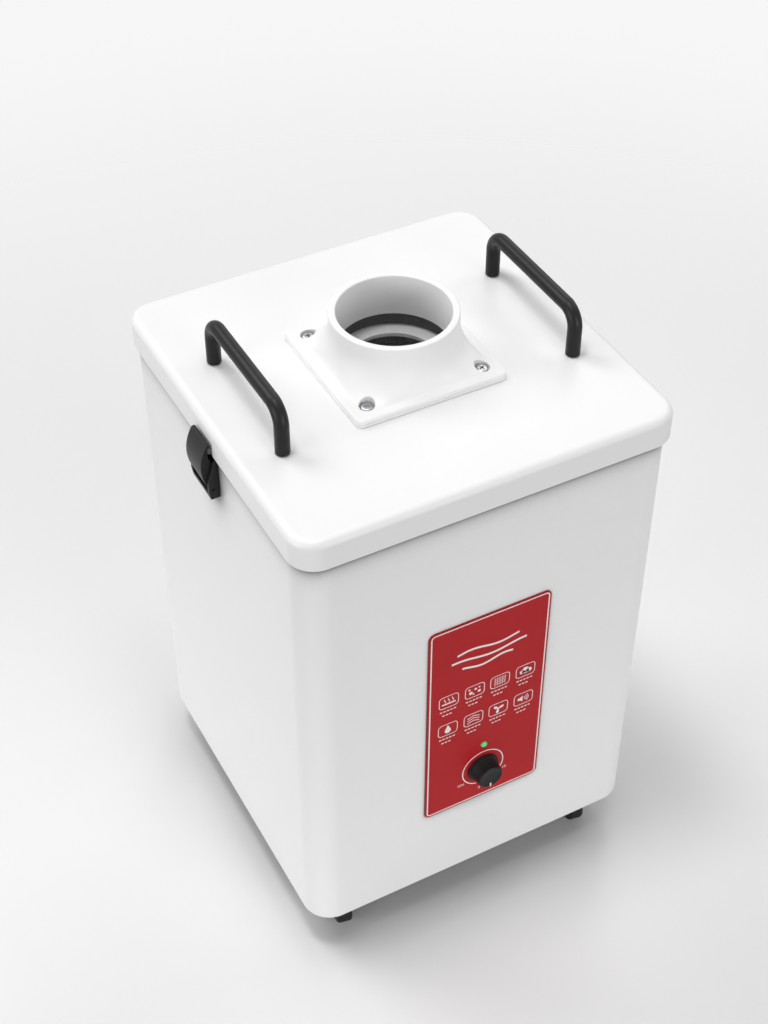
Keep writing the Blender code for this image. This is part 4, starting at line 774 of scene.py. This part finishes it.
def drop(x, y):
    points = arc(x, y - 0.0012, 0.0024, -205, 25, 20)
    fill(points + [(x, y + 0.0042)])


def layers(x, y):
    for k in (-1, 0, 1):
        cy = y + 0.0024 * k
        stroke([(x - 0.0046, cy - 0.0008), (x, cy + 0.0008), (x + 0.0046, cy - 0.0008)], 0.0006)


def fan(x, y):
    dot(x, y, 0.0009)
    reach, half_long, half_wide = 0.0026, 0.0019, 0.0011
    for blade in range(3):
        turn = math.radians(120 * blade + 20)
        along, across = math.cos(turn), math.sin(turn)
        cx, cy = x + reach * along, y + reach * across
        fill([(cx + half_long * math.cos(a) * along - half_wide * math.sin(a) * across,
               cy + half_long * math.cos(a) * across + half_wide * math.sin(a) * along)
              for a in (2 * math.pi * s / 18 for s in range(18))])


def waves(x, y):
    fill([(x - 0.0044, y - 0.0011), (x - 0.0026, y - 0.0011), (x - 0.0006, y - 0.0028),
          (x - 0.0006, y + 0.0028), (x - 0.0026, y + 0.0011), (x - 0.0044, y + 0.0011)])
    for radius in (0.0016, 0.0030, 0.0044):
        stroke(arc(x - 0.0006, y, radius, -45, 45, 12), THIN_LINE)


COLUMNS = (-0.0292, -0.0096, 0.0096, 0.0292)
ROWS = (PANEL_LOW + 0.1146, PANEL_LOW + 0.0867)
GLYPHS = ((smoke, dust, mesh_sheet, cloud), (drop, layers, fan, waves))
FRAME_HALF_X, FRAME_HALF_Z, FRAME_CORNER = 0.00745, 0.00575, 0.0029
# Captions of two lines of dashes each: half lengths, first line under the frame's middle, line pitch
CAPTIONS, CAPTION_DROP, CAPTION_PITCH = (0.0068, 0.0049), 0.0087, 0.0038
DASH_PITCH, DASH_START, DASH_LENGTH, DASH_HALF = 0.0026, 0.0003, 0.0018, 0.00045
for row, row_z in enumerate(ROWS):
    for column, x in enumerate(COLUMNS):
        frame_line(x, row_z, FRAME_HALF_X, FRAME_HALF_Z, FRAME_CORNER, THIN_LINE)
        GLYPHS[row][column](x, row_z)
        for line, length in enumerate(CAPTIONS):
            y = row_z - CAPTION_DROP - CAPTION_PITCH * line
            for word in range(int(2 * length / DASH_PITCH)):
                start = word * DASH_PITCH + DASH_START - length
                block(x, y, start, start + DASH_LENGTH, -DASH_HALF, DASH_HALF)
printed = mesh_piece("panel_print", marks, PRINT, to_front)
seat(printed, "cabinet", "red_panel")


LETTER_SIZE, LETTER_DEPTH = 0.0034, 0.00004


def label(name, text, x, y, size):
    """Generic lettering beside the dial."""
    curve = bpy.data.curves.new(name, "FONT")
    curve.body = text
    curve.size = size
    curve.align_x = "CENTER"
    curve.align_y = "CENTER"
    curve.extrude = LETTER_DEPTH
    holder = bpy.data.objects.new(name + "_text", curve)
    bpy.context.scene.collection.objects.link(holder)
    bpy.context.view_layer.update()
    mesh = bpy.data.meshes.new_from_object(holder.evaluated_get(bpy.context.evaluated_depsgraph_get()))
    bpy.data.objects.remove(holder)
    mesh.transform(to_front @ Matrix.Translation((x, y, PRINT_LOW + LETTER_DEPTH / 2)))
    mesh.materials.clear()
    mesh.materials.append(PRINT)
    piece = bpy.data.objects.new(name, mesh)
    bpy.context.scene.collection.objects.link(piece)
    return seat(piece, "cabinet", "red_panel")


for name, text, x, up in (("dial_on", "ON", -0.0170, 0.0202), ("dial_off", "0", -0.0022, 0.0099),
                          ("dial_max", "10", 0.0175, 0.0212)):
    label(name, text, x, PANEL_LOW + up, LETTER_SIZE)

# Knob
low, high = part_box("control_knob")
REACH = FRONT - low.y
KNOB_SIDES, FLUTES, FLUTE_DEPTH = 180, 36, 0.00022
SOCKET_R, SOCKET_DEPTH = 0.0033, 0.0085
SKIRT_R, SKIRT_HEIGHT, SKIRT_EDGE, SKIRT_ROUND = 0.0120, 0.0012, 0.0002, 0.0003
GRIP_FOOT_R, GRIP_R, GRIP_TOP_R, GRIP_BELOW_TOP = 0.01025, 0.0101, 0.0094, 0.0012
# The knob's rounded crown and shallow dish: radius, and depth under the top
CROWN = ((0.0093, 0.0007), (0.00915, 0.0003), (0.0088, 0.00005), (0.0083, 0), (0.0079, 0.0001),
         (0.0075, 0.00025), (0.002, 0.00028))
POINTER_HALF, POINTER_NEAR, POINTER_FAR = 0.00055, 0.0056, 0.0091
POINTER_DEPTH, POINTER_SUNK = 0.0008, 0.00001
GROOVE_HALF, GROOVE_NEAR, GROOVE_FAR, GROOVE_DEPTH = 0.0006, 0.0055, 0.0125, 0.0006
knob_low = FACE + GAP
grip_low = knob_low + SKIRT_HEIGHT


def knob_loop(radius, height, flute=0.0):
    """Loop round the knob, plain or with shallow flutes."""
    points = []
    for side in range(KNOB_SIDES):
        angle = 2 * math.pi * side / KNOB_SIDES
        r = radius - flute * (0.5 - 0.5 * math.cos(FLUTES * angle)) ** 2
        points.append((r * math.cos(angle), KNOB_Z + r * math.sin(angle), height))
    return points


def key(half_width, near, far):
    """Outline of a bar that runs down from the knob's middle, from one distance to another."""
    return [(-half_width, KNOB_Z - far), (half_width, KNOB_Z - far), (half_width, KNOB_Z - near),
            (-half_width, KNOB_Z - near)]


rings = [
    (SOCKET_R, knob_low + SOCKET_DEPTH), (SOCKET_R, knob_low), (SKIRT_R - SKIRT_EDGE, knob_low),
    (SKIRT_R, knob_low + SKIRT_EDGE), (SKIRT_R, grip_low - SKIRT_ROUND), (SKIRT_R - SKIRT_EDGE, grip_low),
    (GRIP_FOOT_R, grip_low), (GRIP_R, grip_low + SKIRT_EDGE, FLUTE_DEPTH),
    (GRIP_TOP_R, REACH - GRIP_BELOW_TOP, FLUTE_DEPTH)]
rings += [(radius, REACH - depth) for radius, depth in CROWN]
knob = mesh_piece("dial_knob", loft([knob_loop(*ring) for ring in rings]), KNOB_BLACK, to_front)
cut(knob, prism(key(GROOVE_HALF, GROOVE_NEAR, GROOVE_FAR), REACH - GROOVE_DEPTH, REACH + CUT_OUT), to_front)
seat(knob, "speed_knob", "black_plastic", "control_knob")
pointer = mesh_piece("dial_pointer", prism(key(POINTER_HALF, POINTER_NEAR, POINTER_FAR),
                                           REACH - POINTER_DEPTH, REACH - POINTER_SUNK), PRINT, to_front)
bevelled(pointer, EDGE_FILM / 2)
seat(pointer, "speed_knob", "black_plastic")

# Lamp
LENS_R, LENS_RISE, LENS_DEPTH = 0.0024, 0.0014, 0.004
lens_profile = [(0, FACE - LENS_DEPTH), (LENS_R, FACE - LENS_DEPTH), (LENS_R, FACE)]
for step in range(1, 8):
    angle = math.pi / 2 * step / 8
    lens_profile.append((LENS_R * math.cos(angle), FACE + LENS_RISE * math.sin(angle)))
lamp = mesh_piece("lamp_lens", turned(lens_profile, 40), GREEN,
                  to_front @ Matrix.Translation((0, LAMP_Z, 0)))
seat(lamp, "cabinet", "green_lens", "status_lamp")

# Rear grille
GRILLE_CORNER, GRILLE_DEPTH = 0.006, 0.004
SLOTS, SLOT_HALF, SLOT_CORNER = 8, 0.0021, 0.0014
plate = mesh_piece("outlet_grille", prism(
    rounded(grille_half_x, grille_half_z, GRILLE_CORNER, 0, 10, (grille_x, grille_z)),
    GAP, GAP + GRILLE_DEPTH), BLACK_PLASTIC, to_rear)
holes = bmesh.new()
slots_half_z = grille_half_z - GRILLE_BORDER
for slot in range(SLOTS):
    y = grille_z - slots_half_z + 2 * slots_half_z / SLOTS * (slot + 0.5)
    prism(rounded(grille_half_x - GRILLE_BORDER, SLOT_HALF, SLOT_CORNER, 0, 5, (grille_x, y)),
          -CUT_OUT, 2 * GRILLE_DEPTH, holes)
cut(plate, holes, to_rear)
bevelled(plate, EDGE_MOULDED, 3)
seat(plate, "cabinet", "black_plastic", "exhaust_grille")

# Pre-filter and seals
low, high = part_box("pre_filter")
half = high.x
mat_half = half - SEAL_WIDTH
TRAY_DEPTH, TRAY_CORNER = 0.004, 0.003
pad = mesh_piece("prefilter_tray", loft([
    rounded(half, half, FLANGE_CORNER, low.z),
    rounded(half, half, FLANGE_CORNER, high.z),
    rounded(mat_half, mat_half, TRAY_CORNER, high.z),
    rounded(mat_half, mat_half, TRAY_CORNER, high.z - TRAY_DEPTH),
]), PAPER)
bevelled(pad, EDGE_BOARD)
seat(pad, "cabinet", "filter_fleece", "pre_filter")
# Mat with soft lumps that die away towards the tray's edge
MAT_CELLS, MAT_AIR, MAT_EDGE, MAT_RISE, MAT_LUMPS, MAT_DROP = 110, 0.0004, 0.006, 0.0013, 0.0011, 0.0038
fleece = bmesh.new()
bmesh.ops.create_grid(fleece, x_segments=MAT_CELLS, y_segments=MAT_CELLS, size=mat_half - MAT_AIR)
for vertex in fleece.verts:
    x, y = vertex.co.x, vertex.co.y
    edge = min(1, (mat_half - max(abs(x), abs(y))) / MAT_EDGE)
    lump = math.sin(x * 310 + 2 * math.sin(y * 95)) * math.sin(y * 270 + x * 60)
    vertex.co.z = MAT_LUMPS * edge * lump + MAT_RISE * edge
fleece = mesh_piece("prefilter_mat", fleece, FLEECE, Matrix.Translation((0, BACK, high.z - MAT_DROP)))
seat(fleece, "cabinet", "filter_fleece")

low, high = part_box("filter_seal")
ring = mesh_piece("shelf_seal", loft([
    rounded(high.x - inset, high.x - inset, FLANGE_CORNER - inset, height)
    for inset, height in ((0, low.z), (0, high.z), (SEAL_WIDTH, high.z), (SEAL_WIDTH, low.z))],
    closed=True), FOAM)
bevelled(ring, EDGE_FOAM, 3)
seat(ring, "cabinet", "grey_foam", "filter_seal")

# Casters
# All four stand turned the same way, and each fork is a bent sheet cut to a side view
CASTER_TURN = math.radians(-101)
CASTER_TRAIL = 0.010
WHEEL_R, WHEEL_HALF, WHEEL_SHOULDER, TREAD = 0.0125, 0.00575, 0.0025, 0.0037
AXLE_HOLE = 0.0023
HUB_R, DISH_R, DISH_DEPTH, DISH_EDGE = 0.0042, 0.0083, 0.0014, 0.0002
CASTER_PLATE, CASTER_BOSS = 0.0015, 0.0029
FORK_SHEET, FORK_AIR = 0.0014, 0.0006
FORK_EYE = 0.0042
FORK_LOW, FORK_BACK, FORK_FRONT, FORK_REACH = 0.006, -0.0085, 0.0105, 0.0205
BOSS_HOLE = 0.0028
for row in ("front", "rear"):
    for column in ("left", "right"):
        name = f"{row}_{column}_caster"
        low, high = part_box(name + "_plate")
        swivel = Matrix.Translation(((low.x + high.x) / 2, (low.y + high.y) / 2, 0)) @ Matrix.Rotation(
            CASTER_TURN, 4, "Z")
        radius, half, shoulder = WHEEL_R, WHEEL_HALF, WHEEL_SHOULDER
        axle = Matrix.Translation((CASTER_TRAIL, 0, radius)) @ upright
        side_profile = [(AXLE_HOLE, half), (HUB_R, half), (HUB_R + DISH_EDGE, half - DISH_EDGE),
                        (HUB_R + DISH_EDGE, half - DISH_DEPTH), (DISH_R, half - DISH_DEPTH),
                        (DISH_R + DISH_EDGE, half - DISH_EDGE), (radius - TREAD, half)]
        for step in range(7):
            angle = math.pi / 2 * step / 6
            side_profile.append((radius - shoulder + shoulder * math.sin(angle),
                                 half - shoulder + shoulder * math.cos(angle)))
        profile = side_profile + [(r, -h) for r, h in reversed(side_profile)]
        wheel = mesh_piece(name + "_tyre", turned(profile, 56), TYRE, swivel @ axle)
        seat(wheel, f"{row}_{column}_wheel", "caster_tyre", name + "_wheel")

        crown_high = BASE - GAP - CASTER_PLATE - CASTER_BOSS - FORK_AIR
        crown_low = crown_high - FORK_SHEET
        inner = half + FORK_AIR
        outer = inner + FORK_SHEET
        bend = [(-outer, FORK_LOW), (-outer, crown_high), (outer, crown_high), (outer, FORK_LOW),
                (inner, FORK_LOW), (inner, crown_low), (-inner, crown_low), (-inner, FORK_LOW)]
        fork = mesh_piece(name + "_yoke", loft([[(along, out, up) for out, up in bend]
                                                for along in (-FORK_REACH, FORK_REACH)]), CHROME)
        shape = [(FORK_FRONT, crown_high + CUT_OUT), (FORK_BACK, crown_high + CUT_OUT),
                 (FORK_BACK, crown_low)]
        for step in range(19):
            angle = math.radians(200 + 170 * step / 18)
            shape.append((CASTER_TRAIL + FORK_EYE * math.cos(angle), radius + FORK_EYE * math.sin(angle)))
        shape.append((FORK_FRONT, crown_low))
        cut(fork, sideways(shape, -outer - CUT_OUT, outer + CUT_OUT), None, "INTERSECT")
        cut(fork, prism(circle(BOSS_HOLE, 0, 24), crown_low - CUT_OUT, crown_high + CUT_OUT))
        cut(fork, prism(circle(AXLE_HOLE, 0, 24), -CUT_ACROSS, CUT_ACROSS), axle)
        fork.data.transform(swivel)
        bevelled(fork, EDGE_SHEET, 3)
        seat(fork, f"{row}_{column}_swivel", "chrome", name + "_fork")

# Looks of the nodes that stay
CASTERS = [f"{row}_{column}_caster" for row in ("front", "rear") for column in ("left", "right")]
FINISHES = {
    WHITE: ["base_tray", "left_latch_keeper", "right_latch_keeper"],
    BLACK_METAL: ["fan_motor", "left_latch_pin", "right_latch_pin"],
    BLACK_PLASTIC: ["power_inlet"],
    STEEL: ["knob_spindle", "fan_shaft"]
    + [f"{s}_handle_screw_{n}" for s in ("left", "right") for n in (1, 2)]
    + [caster + "_axle" for caster in CASTERS],
    ZINC: ["potentiometer", "filter_shelf", "motor_bracket"] + [caster + "_plate" for caster in CASTERS],
    BOARD: ["control_board"],
    PAPER: ["main_filter"],
    MOULDING: ["blower_housing", "blower_cover", "fan_impeller"],
    CASE: ["power_supply"],
}
ROUNDED = {"left_latch_keeper": EDGE_MOULDED, "right_latch_keeper": EDGE_MOULDED, "power_inlet": EDGE_PLATE,
           "base_tray": EDGE_SHEET}
for material, names in FINISHES.items():
    for name in names:
        node = nodes[name]
        node.data.materials.clear()
        node.data.materials.append(material)
        if name in ROUNDED:
            bevelled(node, ROUNDED[name], 2, weld=True)

# Floor, light and camera
material, tree, shader = nodes_of("studio_floor")
space = texture_space(tree)
FLOOR_DARK, FLOOR_LIGHT, FLOOR_PATCH = (0.846, 0.846, 0.851), (0.862, 0.862, 0.867), 1.5
tree.links.new(blended(tree, ranged(tree, noise(tree, space, FLOOR_PATCH), 0, 1), FLOOR_DARK, FLOOR_LIGHT),
               shader.inputs["Base Color"])
shader.inputs["Roughness"].default_value = 0.22
shader.inputs["Specular IOR Level"].default_value = 0.35
# Away from the object the floor gives way to the backdrop, so that no horizon shows
FADE_START, FADE_END, FLOOR_HALF = 0.35, 1.3, 6
away = tree.nodes.new("ShaderNodeVectorMath")
away.operation = "LENGTH"
tree.links.new(space, away.inputs[0])
fade = tree.nodes.new("ShaderNodeMapRange")
fade.interpolation_type = "SMOOTHSTEP"
fade.inputs["From Min"].default_value = FADE_START
fade.inputs["From Max"].default_value = FADE_END
fade.inputs["To Min"].default_value = 1.0
fade.inputs["To Max"].default_value = 0.0
tree.links.new(away.outputs["Value"], fade.inputs["Value"])
tree.links.new(fade.outputs["Result"], shader.inputs["Alpha"])
ground = bmesh.new()
bmesh.ops.create_grid(ground, x_segments=8, y_segments=8, size=FLOOR_HALF)
floor = mesh_piece("floor", ground, material)

MIDDLE = Vector((0, 0, 0.2))
# Disks that face the object's middle: place, diameter in metres, power in watts
for name, place, size, power in (
        ("key", (-0.9, 1.5, 2.2), 1.4, 23),
        ("rear_fill", (1.4, 1.4, 2.0), 1.4, 9),
        ("front_fill", (0.5, -2.2, 0.7), 1.4, 21),
        ("left_fill", (-2.2, -0.3, 0.7), 1.4, 20),
        ("ceiling", (0, 0, 2.6), 1.6, 6),
        ("overhead", (-0.40, 0.1, 2.7), 0.5, 15.5),
        ("overhead_front", (0.05, -0.48, 2.7), 0.5, 3.6),
        ("right_fill", (1.75, 0.1, 1.9), 1.0, 5.7)):
    light = bpy.data.lights.new(name, "AREA")
    light.shape = "DISK"
    light.size = size
    light.energy = power
    lamp_object = bpy.data.objects.new(name, light)
    lamp_object.location = place
    lamp_object.rotation_euler = (MIDDLE - Vector(place)).to_track_quat("-Z", "Y").to_euler()
    bpy.context.scene.collection.objects.link(lamp_object)

world = bpy.data.worlds.new("studio")
bpy.context.scene.world = world
world.use_nodes = True
tree = world.node_tree
tree.nodes.clear()
output = tree.nodes.new("ShaderNodeOutputWorld")
ambient = tree.nodes.new("ShaderNodeBackground")
ambient.inputs["Color"].default_value = (1, 1, 1, 1)
ambient.inputs["Strength"].default_value = 0.10
backdrop = tree.nodes.new("ShaderNodeBackground")
backdrop.inputs["Color"].default_value = (0.86, 0.86, 0.865, 1)
path = tree.nodes.new("ShaderNodeLightPath")
# The backdrop is a little brighter seen straight than in a reflection
REFLECTED, SEEN = 0.92, 1.08
tree.links.new(ranged(tree, path.outputs["Is Camera Ray"], REFLECTED, SEEN, 0, 1),
               backdrop.inputs["Strength"])
mixed = tree.nodes.new("ShaderNodeMixShader")
seen = path.outputs["Is Camera Ray"]
for ray in ("Is Glossy Ray", "Is Transmission Ray"):
    added = tree.nodes.new("ShaderNodeMath")
    added.operation = "ADD"
    added.use_clamp = True
    tree.links.new(seen, added.inputs[0])
    tree.links.new(path.outputs[ray], added.inputs[1])
    seen = added.outputs[0]
tree.links.new(seen, mixed.inputs["Fac"])
tree.links.new(ambient.outputs["Background"], mixed.inputs[1])
tree.links.new(backdrop.outputs["Background"], mixed.inputs[2])
tree.links.new(mixed.outputs["Shader"], output.inputs["Surface"])

camera_data = bpy.data.cameras.new("camera")
camera_data.lens = 61.796
camera_data.sensor_width = 36
camera_data.sensor_fit = "AUTO"
camera = bpy.data.objects.new("camera", camera_data)
camera.location = (-0.42354, -0.77619, 1.08545)
camera.rotation_euler = (math.radians(47.3561), 0, math.radians(-28.0893))
bpy.context.scene.collection.objects.link(camera)
bpy.context.scene.camera = camera
bpy.context.scene.view_settings.view_transform = "Standard"
